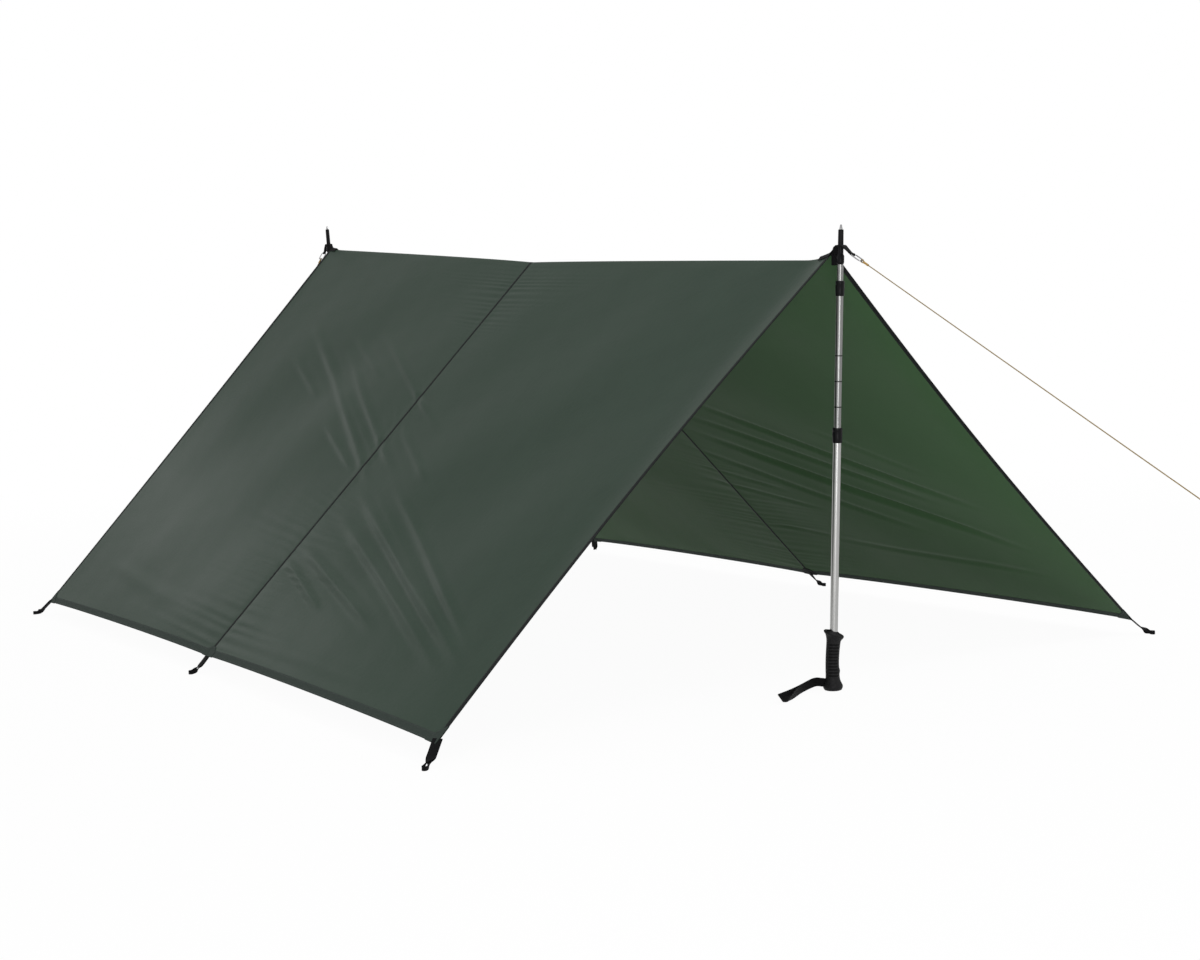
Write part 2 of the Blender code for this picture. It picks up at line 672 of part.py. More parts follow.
def add_ridge_webbing(name, end):
    """Webbing from the ridge to the link and back, ending in a tab inside the apex."""
    points, normals = GRID[end, -1]
    slope_angle = math.atan2(points[-1][0].z - points[-1][1].z, abs(points[-1][1].y))
    over = (PATCH_CLEAR + FIT_GAP / 2 + WEBBING_T / 2) / math.cos(slope_angle)
    eyelet = EYELET[end]
    up = POLE_UP[end]
    flat_way = Vector((end * up.z, 0.0, -end * up.x))
    layer = FIT_GAP / 2 + WEBBING_T / 2
    flat = EYELET_FLANGE_R + FIT_GAP
    half = RIDGE_WEBBING_WIDTH / 2
    narrow = LINK_WEBBING_WIDTH / 2
    run = abs(APEX_X[end] - SEAM_X)
    level = Vector((end, 0.0, 0.0))
    rings = []
    for back in (RIDGE_WEBBING_START, RIDGE_WEBBING_START / 2, 0.004):
        middle = Vector((APEX_X[end] - end * back, 0.0, ridge_height(end, 1 - back / run) + over))
        rings.append(webbing_section(middle, level, end, half * 1.3, slope_angle))
    route = [eyelet - flat_way * flat + up * layer, eyelet + flat_way * flat + up * layer]
    widths = [half, half]
    bar = eyelet + GUY_WAY[end] * LINK_REACH
    turn_r = LINK_WIRE / 2 + FIT_GAP + WEBBING_T / 2
    neck = bar - GUY_WAY[end] * 0.010
    neck_rise = GUY_UP[end] * (turn_r + layer) / 2
    route.append(neck + neck_rise)
    for i in range(7):
        angle = math.pi / 2 - math.pi * i / 6
        route.append(bar + (GUY_WAY[end] * math.cos(angle) + GUY_UP[end] * math.sin(angle)) * turn_r)
    route += [neck - neck_rise, eyelet + flat_way * flat - up * layer, eyelet - flat_way * flat - up * layer]
    widths += [narrow] * 9 + [half, half]
    tab_x = APEX_X[end] + end * (FIT_GAP + TAPE_T + FIT_GAP + WEBBING_T * 1.5)
    tab_top = route[-1].z
    for ahead, down in ((0.0048, 0.0065), (0.0014, 0.0140), (0.0, TAB_LENGTH)):
        route.append(Vector((tab_x + end * ahead, 0.0, tab_top - down)))
        widths.append(TAB_WIDTH / 2)
    for i, (middle, half_width) in enumerate(zip(route, widths)):
        before = route[i - 1] if i else middle - flat_way
        after = route[min(i + 1, len(route) - 1)]
        rings.append(webbing_section(middle, (after - before).normalized(), end, half_width, 0.0))
    webbing = add_object(name, *loft(rings), WEBBING)
    hole_r = eyelet_bore(end) + EYELET_WALL + FIT_GAP
    cut_verts, cut_faces = turned([(0.0, -0.004), (hole_r, -0.004), (hole_r, 0.004), (0.0, 0.004)], FINE)
    cutter = add_object(f"{name}_hole_cutter", cut_verts, cut_faces, WEBBING)
    cutter.matrix_world = Matrix.Translation(eyelet) @ Matrix.Rotation(end * LEAN[end], 4, "Y")
    cutter.hide_render = True
    cutter.display_type = "WIRE"
    hole = webbing.modifiers.new("eyelet_hole", "BOOLEAN")
    hole.operation = "DIFFERENCE"
    hole.solver = "EXACT"
    hole.object = cutter
    return webbing


def add_eyelet(name, end):
    """Pressed ring through both layers of webbing, square to the pole."""
    inner = EYELET_STACK + FIT_GAP
    outer = inner + EYELET_FLANGE_T
    bore = eyelet_bore(end)
    neck = bore + EYELET_WALL
    profile = [
        (bore, -outer),
        (EYELET_FLANGE_R, -outer),
        (EYELET_FLANGE_R, -inner),
        (neck, -inner),
        (neck, inner),
        (EYELET_FLANGE_R, inner),
        (EYELET_FLANGE_R, outer),
        (bore, outer),
    ]
    ring = add_object(name, *turned(profile, FINE), PLASTIC)
    ring.location = EYELET[end]
    ring.rotation_euler = (0.0, end * LEAN[end], 0.0)
    return ring


def add_link(name, end):
    """Wire link with straight ends, lying across the guy line's plane."""
    half_run = (LINK_LENGTH - LINK_WIRE) / 2 - LINK_CORNER_R
    half_bar = (LINK_WIDTH - LINK_WIRE) / 2 - LINK_CORNER_R
    centre = EYELET[end] + GUY_WAY[end] * (LINK_REACH + half_run + LINK_CORNER_R)
    rings = []
    for along, aside, first in ((1, 1, 0), (-1, 1, 1), (-1, -1, 2), (1, -1, 3)):
        bend = centre + GUY_WAY[end] * half_run * along + ACROSS * half_bar * aside
        for i in range(5):
            angle = math.pi / 2 * (first + i / 4)
            radial = GUY_WAY[end] * math.cos(angle) + ACROSS * math.sin(angle)
            ring = []
            for k in range(8):
                turn = 2 * math.pi * k / 8
                ring.append(
                    bend + radial * LINK_CORNER_R
                    + (radial * math.cos(turn) + GUY_UP[end] * math.sin(turn)) * LINK_WIRE / 2
                )
            rings.append(ring)
    return add_object(name, *loft(rings, closed=True), STEEL, smooth_angle=60)


def cord_ring(middle, radial, across):
    turns = [2 * math.pi * k / CORD_SIDES for k in range(CORD_SIDES)]
    return [
        middle + (radial * math.cos(turn) + across * math.sin(turn)) * CORD_DIAMETER / 2 for turn in turns
    ]


def add_line_eye(name, bend_centre, way, up, bend_r, knot_at, knot_length, knot_r):
    """Cord looped back on itself, its two legs held in a whipping or knot."""
    across = way.cross(up)
    leg = CORD_DIAMETER / 2 + FIT_GAP / 2
    hold = bend_centre + way * (knot_at + knot_length * 0.4)
    rings = [cord_ring(hold + up * leg, up, across)]
    rings.append(cord_ring(bend_centre + way * knot_at * 0.85 + up * leg, up, across))
    for i in range(9):
        angle = math.pi / 2 + math.pi * i / 8
        radial = way * math.cos(angle) + up * math.sin(angle)
        rings.append(cord_ring(bend_centre + radial * bend_r, radial, across))
    rings.append(cord_ring(bend_centre + way * knot_at * 0.85 - up * leg, -up, across))
    rings.append(cord_ring(hold - up * leg, -up, across))
    eye = add_object(name, *loft(rings), CORD, smooth_angle=60)
    bulge = knot_r * 0.82
    profile = [
        (0.0, 0.0),
        (bulge * 0.8, 0.0),
        (knot_r, knot_length * 0.2),
        (knot_r, knot_length * 0.7),
        (bulge * 0.6, knot_length),
        (0.0, knot_length),
    ]
    wrap = add_object(f"{name}_wrap", *turned(profile, SMALL), CORD)
    frame = Matrix((up.cross(way), up, way)).transposed().to_4x4()
    wrap.matrix_world = Matrix.Translation(bend_centre + way * knot_at) @ frame
    wrap.hide_render = True
    wrap.display_type = "WIRE"
    join = eye.modifiers.new("whipping", "BOOLEAN")
    join.operation = "UNION"
    join.solver = "EXACT"
    join.object = wrap
    return eye


def add_guy_line(name, route):
    """The taut free stretch of a guy line, a round cord on its route."""
    curve = bpy.data.curves.new(name, "CURVE")
    curve.dimensions = "3D"
    curve.bevel_depth = CORD_DIAMETER / 2
    curve.bevel_resolution = 2
    curve.use_fill_caps = True
    spline = curve.splines.new("POLY")
    points = smooth_route(route, 24)
    spline.points.add(len(points) - 1)
    for spot, point in zip(spline.points, points):
        spot.co = (*point, 1.0)
    curve.materials.append(CORD)
    line = bpy.data.objects.new(name, curve)
    bpy.context.scene.collection.objects.link(line)
    return line


for end, end_name, route in ((1, "front", FRONT_LINE), (-1, "rear", REAR_LINE)):
    add_ridge_webbing(f"{end_name}_ridge_webbing", end)
    add_eyelet(f"{end_name}_eyelet", end)
    add_link(f"{end_name}_link", end)
    far_bar = EYELET[end] + GUY_WAY[end] * (LINK_REACH + LINK_LENGTH - LINK_WIRE)
    eye_r = (LINK_WIRE + CORD_DIAMETER) / 2 + FIT_GAP
    add_line_eye(
        f"{end_name}_line_eye", far_bar, GUY_WAY[end], GUY_UP[end], eye_r,
        WHIPPING_FROM, WHIPPING_LENGTH, WHIPPING_R,
    )
    route = [EYELET[end] + Vector(point) for point in route]
    add_guy_line(f"{end_name}_guy_line", route)
    last = route[-1]
    line_way = (last - route[-2]).normalized()
    line_up = ACROSS.cross(line_way) * end
    knot_length = KNOT_R * 2.2
    loop_centre = last + line_way * (FIT_GAP + knot_length + END_LOOP_LENGTH - END_LOOP_R)
    add_line_eye(
        f"{end_name}_end_loop", loop_centre, -line_way, line_up, END_LOOP_R,
        END_LOOP_LENGTH - END_LOOP_R, knot_length, KNOT_R,
    )


# Trekking poles, upside down: each piece lies in its pole's frame, whose origin is the
# eyelet and whose +Z runs up the pole to the steel tip


def along(profile, zero):
    """Profile of (radius, distance from the tip) as (radius, local height)."""
    return [(radius, zero - distance) for radius, distance in profile]


def add_turned(name, profile, zero, finish, pole, sides=FINE):
    return add_object(name, *turned(along(profile, zero), sides), finish, parent=pole)


def add_tube(name, radius, first, length, zero, pole):
    """Drawn tube, open at both ends."""
    bore = radius - TUBE_WALL
    profile = [(radius, first), (radius, first + length), (bore, first + length), (bore, first)]
    return add_turned(name, profile, zero, ALUMINIUM, pole)


def add_collar(name, inner_r, tube_r, first, zero, pole):
    """Sleeve over the mouth of a tube, its lip guiding the thinner tube."""
    outer = tube_r + FIT_GAP + COLLAR_WALL
    lip = inner_r + RUNNING_GAP
    seat = tube_r + FIT_GAP
    last = first + COLLAR_LENGTH
    ease = 0.0008
    profile = [
        (lip, first),
        (outer - ease, first),
        (outer, first + ease),
        (outer, last - ease),
        (outer - ease, last),
        (seat, last),
        (seat, first + COLLAR_LIP),
        (lip, first + COLLAR_LIP),
    ]
    return add_turned(name, profile, zero, PLASTIC, pole)


def add_lock(name, tube_r, tube_end, outer_tube_r, zero, pole):
    """Twist lock at a tube's end: insert with its stud, and the plug that rides on it."""
    insert_r = tube_r - TUBE_WALL - FIT_GAP / 2
    plug_r = outer_tube_r - TUBE_WALL - FIT_GAP
    cap = tube_end + FIT_GAP
    stud_from = cap + 0.003
    stud_to = stud_from + LOCK_STUD_LENGTH
    insert = [
        (0.0, tube_end - LOCK_INSERT_LENGTH),
        (insert_r, tube_end - LOCK_INSERT_LENGTH),
        (insert_r, cap),
        (tube_r - FIT_GAP, cap),
        (tube_r - FIT_GAP, stud_from),
        (LOCK_STUD_R, stud_from),
        (LOCK_STUD_R, stud_to),
        (0.0, stud_to),
    ]
    add_turned(f"{name}_stud", insert, zero, PLASTIC, pole, SMALL)
    bore = LOCK_STUD_R + FIT_GAP
    plug_from = stud_from + 0.003
    plug_to = plug_from + LOCK_PLUG_LENGTH
    taper = 0.006
    plug = [
        (bore, plug_from),
        (plug_r - 0.0012, plug_from),
        (plug_r, plug_from + taper),
        (plug_r, plug_to - taper),
        (plug_r - 0.0012, plug_to),
        (bore, plug_to),
    ]
    add_turned(f"{name}_plug", plug, zero, PLASTIC, pole, SMALL)


def floor_height(pole_matrix, x, y):
    """Local height of the ground under a local x and y."""
    turn = pole_matrix.to_3x3()
    origin = pole_matrix.translation
    return -(origin.z + turn[2][0] * x + turn[2][1] * y) / turn[2][2]


def grip_radius(height):
    """Grip radius above its foot: rounded head, ribbed body, neck and flared lip."""
    stations = [
        (0.003, 0.0205), (0.008, 0.0222), (0.013, 0.0215), (0.021, 0.0168), (0.030, 0.0150),
        (0.070, 0.0144), (0.100, 0.0148), (0.116, 0.0155), (0.124, 0.0172), (0.129, 0.0205), (0.132, 0.0212),
    ]
    scale = GRIP_BODY_R / 0.0147
    height = height * 0.143 / GRIP_LENGTH
    for (h0, r0), (h1, r1) in zip(stations, stations[1:]):
        if height <= h1:
            share = max(0.0, (height - h0) / (h1 - h0))
            return (r0 + (r1 - r0) * share) * scale
    return stations[-1][1] * scale


def add_grip(name, pole, pole_matrix, facing):
    """Moulded grip standing on its head, blind bored for the upper tube."""
    foot = floor_height(pole_matrix, 0.0, 0.0)
    scale = GRIP_LENGTH / 0.143
    heights = [0.003 * scale, 0.008 * scale, 0.013 * scale, 0.021 * scale, 0.029 * scale]
    first_rib, last_rib = 0.032 * scale, 0.112 * scale
    pitch = (last_rib - first_rib) / GRIP_RIBS
    ribs = []
    for i in range(GRIP_RIBS):
        ribs += [(first_rib + pitch * (i + 0.25), 0.0), (first_rib + pitch * (i + 0.75), -GRIP_RIB_DEPTH)]
    rows = [(h, 0.0) for h in heights] + ribs
    rows += [(h * scale, 0.0) for h in (0.116, 0.124, 0.129, 0.132)]
    slant = 0.0065 * scale
    rings = []
    flat_r = 0.016 * GRIP_BODY_R / 0.0147
    angles = [2 * math.pi * k / FINE for k in range(FINE)]
    rings.append(
        [
            Vector((flat_r * math.cos(a), flat_r * math.sin(a),
                    floor_height(pole_matrix, flat_r * math.cos(a), flat_r * math.sin(a))))
            for a in angles
        ]
    )
    for height, dip in rows:
        radius = grip_radius(height) + dip
        tilt = slant * smooth_step((height / scale - 0.112) / 0.016)
        bump = 0.0016 * math.exp(-(((height / scale - 0.046) / 0.006) ** 2))
        ring = []
        for a in angles:
            ahead = math.cos(a - facing)
            r = radius + bump * max(0.0, ahead) ** 2
            ring.append(Vector((r * math.cos(a), r * math.sin(a), foot + height - tilt * ahead)))
        rings.append(ring)
    bore = UPPER_TUBE_R + FIT_GAP
    for radius, height, tilt in (
        (bore + 0.0045, 0.1365 * scale, slant * 0.7),
        (bore, GRIP_LENGTH - 0.004 * scale, slant * 0.35),
        (bore, GRIP_FLOOR - FIT_GAP, 0.0),
    ):
        rings.append(
            [
                Vector((radius * math.cos(a), radius * math.sin(a),
                        foot + height - tilt * math.cos(a - facing)))
                for a in angles
            ]
        )
    return add_object(name, *loft(rings), RUBBER, parent=pole, smooth_angle=55)


def add_wrist_strap(name, pole, pole_matrix, route):
    """Doubled wrist strap standing on its edge on the ground, looped at its far end."""
    points = smooth_route(route, 12)
    offset = (STRAP_GAP + STRAP_T) / 2
    way = [(points[min(i + 1, 11)] - points[max(i - 1, 0)]) for i in range(12)]
    sideways = [Vector((w.y, -w.x, 0.0)).normalized() for w in way]
    up = Vector((0.0, 0.0, 1.0))
    rings = []
    for i in range(12):
        rings.append(strap_section(points[i] + sideways[i] * offset, sideways[i], up))
    end_way = Vector((way[-1].x, way[-1].y, 0.0)).normalized()
    for i in range(1, 6):
        angle = math.pi / 2 - math.pi * i / 6
        radial = end_way * math.cos(angle) + sideways[-1] * math.sin(angle)
        rings.append(strap_section(points[-1] + radial * offset, radial, up))
    for i in reversed(range(12)):
        rings.append(strap_section(points[i] - sideways[i] * offset, -sideways[i], up))
    back = pole_matrix.inverted()
    rings = [[back @ point for point in ring] for ring in rings]
    return add_object(name, *loft(rings), WEBBING, parent=pole)


def strap_section(middle, through, up):
    step = through * STRAP_T / 2
    half = up * STRAP_WIDTH / 2
    return [middle + step - half, middle + step + half, middle - step + half, middle - step - half]


STRAP_EDGE = STRAP_WIDTH / 2 + 0.0005
FRONT_STRAP = [
    (-0.0119, -0.0176, 0.0235),
    (-0.0230, -0.0360, 0.0225),
    (-0.0110, -0.0850, STRAP_EDGE + 0.003),
    (0.0160, -0.1400, STRAP_EDGE),
    (0.0330, -0.1720, STRAP_EDGE),
]
REAR_STRAP = [
    (-0.0210, 0.0048, 0.0235),
    (-0.0420, 0.0100, 0.0225),
    (-0.0900, 0.0020, STRAP_EDGE + 0.003),
    (-0.1450, -0.0180, STRAP_EDGE),
    (-0.1750, -0.0400, STRAP_EDGE),
]


def add_pole(end, end_name, strap_route, facing):
    """One telescoping pole, its lower section drawn out to reach from ground to eyelet."""
    pole_matrix = Matrix.Translation(EYELET[end]) @ Matrix.Rotation(end * LEAN[end], 4, "Y")
    pole = bpy.data.objects.new(f"{end_name}_pole", None)
    bpy.context.scene.collection.objects.link(pole)
    pole.matrix_world = pole_matrix
    zero = EYELET_BELOW_TIP[end]
    total = TIP[end].z / math.cos(LEAN[end])
    front_total = FRONT_TIP.z / math.cos(FRONT_LEAN)
    lower_shows = FRONT_LOWER_SHOWS + total - front_total
    tip = [
        (0.0, 0.0),
        (TIP_R * 0.75, 0.0),
        (TIP_R, 0.0012),
        (TIP_R, TIP_LENGTH * 2.2),
        (0.0, TIP_LENGTH * 2.2),
    ]
    add_turned(f"{end_name}_pole_tip", tip, zero, STEEL, pole, SMALL)
    lower_bore = LOWER_TUBE_R - TUBE_WALL
    tip_bore = TIP_R + FIT_GAP
    ferrule = [
        (tip_bore, TIP_LENGTH),
        (FERRULE_TOP_R, TIP_LENGTH),
        (FERRULE_CONE_R, FERRULE_CONE_END),
        (BOSS_R, FERRULE_CONE_END + 0.003),
        (BOSS_R, FERRULE_END - 0.003),
        (LOWER_TUBE_R, FERRULE_END),
        (lower_bore - FIT_GAP / 2, FERRULE_END),
        (lower_bore - FIT_GAP / 2, FERRULE_END + SPIGOT_LENGTH),
        (tip_bore, FERRULE_END + SPIGOT_LENGTH),
        (tip_bore, TIP_LENGTH * 2.2 + FIT_GAP),
    ]
    add_turned(f"{end_name}_pole_ferrule", ferrule, zero, PLASTIC, pole)
    lower_from = FERRULE_END + FIT_GAP
    add_tube(f"{end_name}_lower_tube", LOWER_TUBE_R, lower_from, LOWER_TUBE_LENGTH, zero, pole)
    add_lock(
        f"{end_name}_lower_lock", LOWER_TUBE_R, lower_from + LOWER_TUBE_LENGTH, MIDDLE_TUBE_R, zero, pole
    )
    middle_collar = FERRULE_END + lower_shows
    add_collar(f"{end_name}_middle_collar", LOWER_TUBE_R, MIDDLE_TUBE_R, middle_collar, zero, pole)
    middle_from = middle_collar + COLLAR_LIP + FIT_GAP
    add_tube(f"{end_name}_middle_tube", MIDDLE_TUBE_R, middle_from, MIDDLE_TUBE_LENGTH, zero, pole)
    add_lock(
        f"{end_name}_middle_lock", MIDDLE_TUBE_R, middle_from + MIDDLE_TUBE_LENGTH, UPPER_TUBE_R, zero, pole
    )
    upper_collar = middle_collar + COLLAR_LENGTH + MIDDLE_SHOWS
    add_collar(f"{end_name}_upper_collar", MIDDLE_TUBE_R, UPPER_TUBE_R, upper_collar, zero, pole)
    upper_from = upper_collar + COLLAR_LIP + FIT_GAP
    add_tube(
        f"{end_name}_upper_tube", UPPER_TUBE_R, upper_from, total - GRIP_FLOOR - upper_from, zero, pole
    )
    add_grip(f"{end_name}_grip", pole, pole_matrix, facing)
    foot = TIP[end] - POLE_UP[end] * total
    route = [(foot.x + x, foot.y + y, z) for x, y, z in strap_route]
    add_wrist_strap(f"{end_name}_wrist_strap", pole, pole_matrix, route)


add_pole(1, "front", FRONT_STRAP, math.radians(55.4))
add_pole(-1, "rear", REAR_STRAP, math.radians(-10.0))
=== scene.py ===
"""A camping tarp pitched as an A shelter on two trekking poles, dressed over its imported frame.

Metres, +Z up.  X runs along the ridge, +X to the open front, and -Y is the near slope.
"""
import math

import bmesh
import bpy
import numpy as np
from mathutils import Matrix, Vector


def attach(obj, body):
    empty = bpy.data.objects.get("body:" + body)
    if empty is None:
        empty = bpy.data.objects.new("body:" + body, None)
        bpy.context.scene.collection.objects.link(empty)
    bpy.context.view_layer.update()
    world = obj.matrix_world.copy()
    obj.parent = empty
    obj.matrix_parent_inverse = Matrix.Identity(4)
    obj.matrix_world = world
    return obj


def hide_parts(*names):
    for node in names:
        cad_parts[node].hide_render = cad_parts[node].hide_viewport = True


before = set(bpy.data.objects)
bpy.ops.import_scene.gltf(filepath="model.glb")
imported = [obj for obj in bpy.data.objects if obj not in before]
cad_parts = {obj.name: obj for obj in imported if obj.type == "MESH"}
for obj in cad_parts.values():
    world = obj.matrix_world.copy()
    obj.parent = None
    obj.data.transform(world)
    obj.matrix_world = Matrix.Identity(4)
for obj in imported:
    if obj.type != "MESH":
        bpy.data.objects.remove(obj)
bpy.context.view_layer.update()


# Studio: a white floor without an end under a plain white sky, with three soft lamps.  One over
# the ridge rakes the near slope, one low before the opening rakes the inside, and a weak one
# stands behind the rear end.  The camera is a 54 mm lens at the photograph's angle to the tarp.

CAMERA_PLACE = Vector((4.3152, -2.7571, 0.8654))
CAMERA_TURN = math.radians(55.4347)
CAMERA_PITCH = math.radians(5.0818)
CAMERA_ROLL = math.radians(-1.5905)
CAMERA_LENS = 54.081
CAMERA_SENSOR = 36.0
CAMERA_FAR = 400.0
FLOOR_SIZE = 120.0
FLOOR_GREY = 0.80
FLOOR_GLOW = 0.96
FLOOR_FADES_FROM = 2.0
FLOOR_FADES_TO = 5.5
SKY_LIGHT = 0.78


def add_to_scene(name, data):
    """An object of the scene that holds a mesh, a lamp or the camera."""
    made = bpy.data.objects.new(name, data)
    bpy.context.scene.collection.objects.link(made)
    return made


level = math.cos(CAMERA_PITCH)
back = Vector((math.sin(CAMERA_TURN) * level, -math.cos(CAMERA_TURN) * level, math.sin(CAMERA_PITCH)))
level_right = Vector((0.0, 0.0, 1.0)).cross(back).normalized()
level_up = back.cross(level_right)
right = level_right * math.cos(CAMERA_ROLL) + level_up * math.sin(CAMERA_ROLL)
up = level_up * math.cos(CAMERA_ROLL) - level_right * math.sin(CAMERA_ROLL)
camera_data = bpy.data.cameras.new("camera")
camera_data.sensor_width = CAMERA_SENSOR
camera_data.lens = CAMERA_LENS
camera_data.clip_end = CAMERA_FAR
camera = add_to_scene("camera", camera_data)
camera.matrix_world = Matrix.Translation(CAMERA_PLACE) @ Matrix((right, up, back)).transposed().to_4x4()
bpy.context.scene.camera = camera
bpy.context.scene.view_settings.view_transform = "Standard"


def shader_step(tree, kind, settings=None, inputs=None):
    """One shader node: its settings, and its inputs by name as a value or as a link."""
    made = tree.nodes.new(kind)
    for name, value in (settings or {}).items():
        setattr(made, name, value)
    for name, value in (inputs or {}).items():
        if isinstance(value, bpy.types.NodeSocket):
            tree.links.new(value, made.inputs[name])
        else:
            made.inputs[name].default_value = value
    return made


def math_step(tree, operation, *values):
    """One sum, product or like step of plain numbers and links."""
    return shader_step(tree, "ShaderNodeMath", {"operation": operation}, dict(enumerate(values))).outputs[0]


def spread(tree, share, low, high):
    """A share from 0 to 1, spread between two values."""
    inputs = {"Value": share, "To Min": low, "To Max": high}
    return shader_step(tree, "ShaderNodeMapRange", None, inputs).outputs[0]


def own_place(tree):
    """Object coordinates, which are metres in the scene for a finished piece."""
    return shader_step(tree, "ShaderNodeTexCoord").outputs["Object"]


def seen_straight_or_mirrored(tree):
    """1 for what the camera sees, also in metal and glass, and 0 for the light on the object."""
    path = shader_step(tree, "ShaderNodeLightPath").outputs
    straight_or_glossy = math_step(tree, "MAXIMUM", path["Is Camera Ray"], path["Is Glossy Ray"])
    return math_step(tree, "MAXIMUM", straight_or_glossy, path["Is Transmission Ray"])


def new_finish(name, roughness, metallic=0.0, specular=0.5, sheen=0.0):
    """A Principled material whose plain numbers stand on the shader itself."""
    made = bpy.data.materials.new(name)
    made.use_nodes = True
    shader = made.node_tree.nodes["Principled BSDF"]
    shader.inputs["Roughness"].default_value = roughness
    shader.inputs["Metallic"].default_value = metallic
    shader.inputs["Specular IOR Level"].default_value = specular
    shader.inputs["Sheen Weight"].default_value = sheen
    return made, made.node_tree, shader


world = bpy.data.worlds.new("studio")
bpy.context.scene.world = world
world.use_nodes = True
sky = world.node_tree.nodes["Background"]
sky.inputs["Color"].default_value = (1.0, 1.0, 1.0, 1.0)
sky_strength = spread(world.node_tree, seen_straight_or_mirrored(world.node_tree), SKY_LIGHT, 1.0)
world.node_tree.links.new(sky_strength, sky.inputs["Strength"])


def floor_finish():
    """Matt paint whose own light takes over with distance, so that the floor has no far edge."""
    made, tree, shader = new_finish("floor_paint", 0.95, specular=0.0)
    shader.inputs["Base Color"].default_value = (FLOOR_GREY, FLOOR_GREY, FLOOR_GREY, 1.0)
    glow = shader_step(tree, "ShaderNodeEmission", None, {"Color": (1.0, 1.0, 1.0, 1.0), "Strength": 1.0})
    reach = shader_step(tree, "ShaderNodeVectorMath", {"operation": "LENGTH"}, {0: own_place(tree)})
    fade = {"From Min": FLOOR_FADES_FROM, "From Max": FLOOR_FADES_TO, "To Min": FLOOR_GLOW, "To Max": 1.0}
    by_reach = shader_step(
        tree, "ShaderNodeMapRange", {"interpolation_type": "SMOOTHSTEP"},
        {"Value": reach.outputs["Value"], **fade},
    )
    share = math_step(tree, "MULTIPLY", seen_straight_or_mirrored(tree), by_reach.outputs[0])
    blend = {0: share, 1: shader.outputs[0], 2: glow.outputs[0]}
    mixed = shader_step(tree, "ShaderNodeMixShader", None, blend)
    tree.links.new(mixed.outputs[0], tree.nodes["Material Output"].inputs["Surface"])
    return made


floor_mesh = bpy.data.meshes.new("floor")
corners = [(x * FLOOR_SIZE / 2, y * FLOOR_SIZE / 2, 0) for x, y in ((-1, -1), (1, -1), (1, 1), (-1, 1))]
floor_mesh.from_pydata(corners, [], [(0, 1, 2, 3)])
floor_mesh.materials.append(floor_finish())
floor = add_to_scene("floor", floor_mesh)


def hang_lamp(name, place, aim, size, power):
    """A square soft box aimed at a point."""
    lamp_data = bpy.data.lights.new(name, "AREA")
    lamp_data.size = size
    lamp_data.energy = power
    lamp = add_to_scene(name, lamp_data)
    lamp.location = place
    lamp.rotation_euler = (Vector(aim) - Vector(place)).to_track_quat("-Z", "Y").to_euler()


hang_lamp("lamp_behind_rear_end", (-5.1, -1.5, 2.3), (0.0, -0.5, 0.5), 0.8, 4.5)
hang_lamp("lamp_over_ridge", (2.0, 1.3, 4.2), (0.0, -0.4, 0.5), 0.9, 52.0)
hang_lamp("lamp_before_opening", (4.4, -2.3, 0.7), (0.3, 0.5, 0.5), 1.4, 45.0)


# Guy lines: 2.2 mm braided polyester cord, gold with a painted tan shade in its dives, one from each ridge
# end.
# Both are pulled straight out and down, and end in the loop that goes over a ground peg.
# The free stretch follows the same points as the frame's line, from the eyelet at the ridge end.

ENDS = {1: "front", -1: "rear"}
EYELET = {1: Vector((1.28665, 0.0, 1.01456)), -1: Vector((-1.26947, 0.0, 1.14384))}
CORD_DIAMETER = 0.0022
CORD_STRANDS = 4
BRAID_PITCH = 0.0064
BRAID_DEPTH = 0.00010
CORD_SIDES = 16
FRONT_LINE = [
    (0.08905, 0.0, -0.04716),
    (0.31815, 0.0, -0.16876),
    (0.54795, 0.0, -0.29056),
    (0.77775, 0.0, -0.41216),
    (1.01155, 0.0, -0.53556),
]
REAR_LINE = [
    (-0.08153, 0.0, -0.05924),
    (-0.25073, 0.0, -0.18244),
    (-0.42873, 0.0, -0.31184),
    (-0.60673, 0.0, -0.44104),
    (-0.78473, 0.0, -0.57014),
]
CORD_STEP = 0.0009
# The strands' crowns are gold; tan is painted shade where they dive under each other.
GOLD = (0.31, 0.22, 0.072)
TAN_PAINTED_SHADE = (0.15, 0.10, 0.032)


def noise(tree, place, scale, detail, roughness=0.5):
    """Share from 0 to 1 that varies over a place, at a scale in turns to the metre."""
    inputs = {"Vector": place, "Scale": scale, "Detail": detail, "Roughness": roughness}
    return shader_step(tree, "ShaderNodeTexNoise", None, inputs).outputs["Fac"]


def stored(tree, key):
    """A value that the mesh keeps at each of its points."""
    return shader_step(tree, "ShaderNodeAttribute", {"attribute_name": key}).outputs["Fac"]


def dye(tree, shader, share, dark, light):
    """Colour of a finish between two tones, by a share from 0 to 1."""
    tones = {"Factor": share, "A": (*dark, 1.0), "B": (*light, 1.0)}
    colour = shader_step(tree, "ShaderNodeMix", {"data_type": "RGBA"}, tones).outputs["Result"]
    tree.links.new(colour, shader.inputs["Base Color"])


def relief(tree, shader, height, strength, depth, coarser=None):
    """Fine relief of a finish, from a height between 0 and 1, over any coarser relief."""
    inputs = {"Strength": strength, "Distance": depth, "Height": height}
    if coarser:
        inputs["Normal"] = coarser
    normal = shader_step(tree, "ShaderNodeBump", None, inputs).outputs[0]
    tree.links.new(normal, shader.inputs["Normal"])
    return normal


def cord_painted_shade_finish(name, dark, light):
    """Braid in painted light and shade: each strand is painted lighter on its crown and darker, as painted
    shade, where it dives under the next.
    """
    made, tree, shader = new_finish(name, 0.62, specular=0.35, sheen=0.15)
    dye(tree, shader, stored(tree, "strand_crown_and_painted_shade"), dark, light)
    relief(tree, shader, noise(tree, own_place(tree), 5200.0, 2.0), 0.25, 0.00005)
    return made


GOLD_CORD = cord_painted_shade_finish("gold_cord", TAN_PAINTED_SHADE, GOLD)


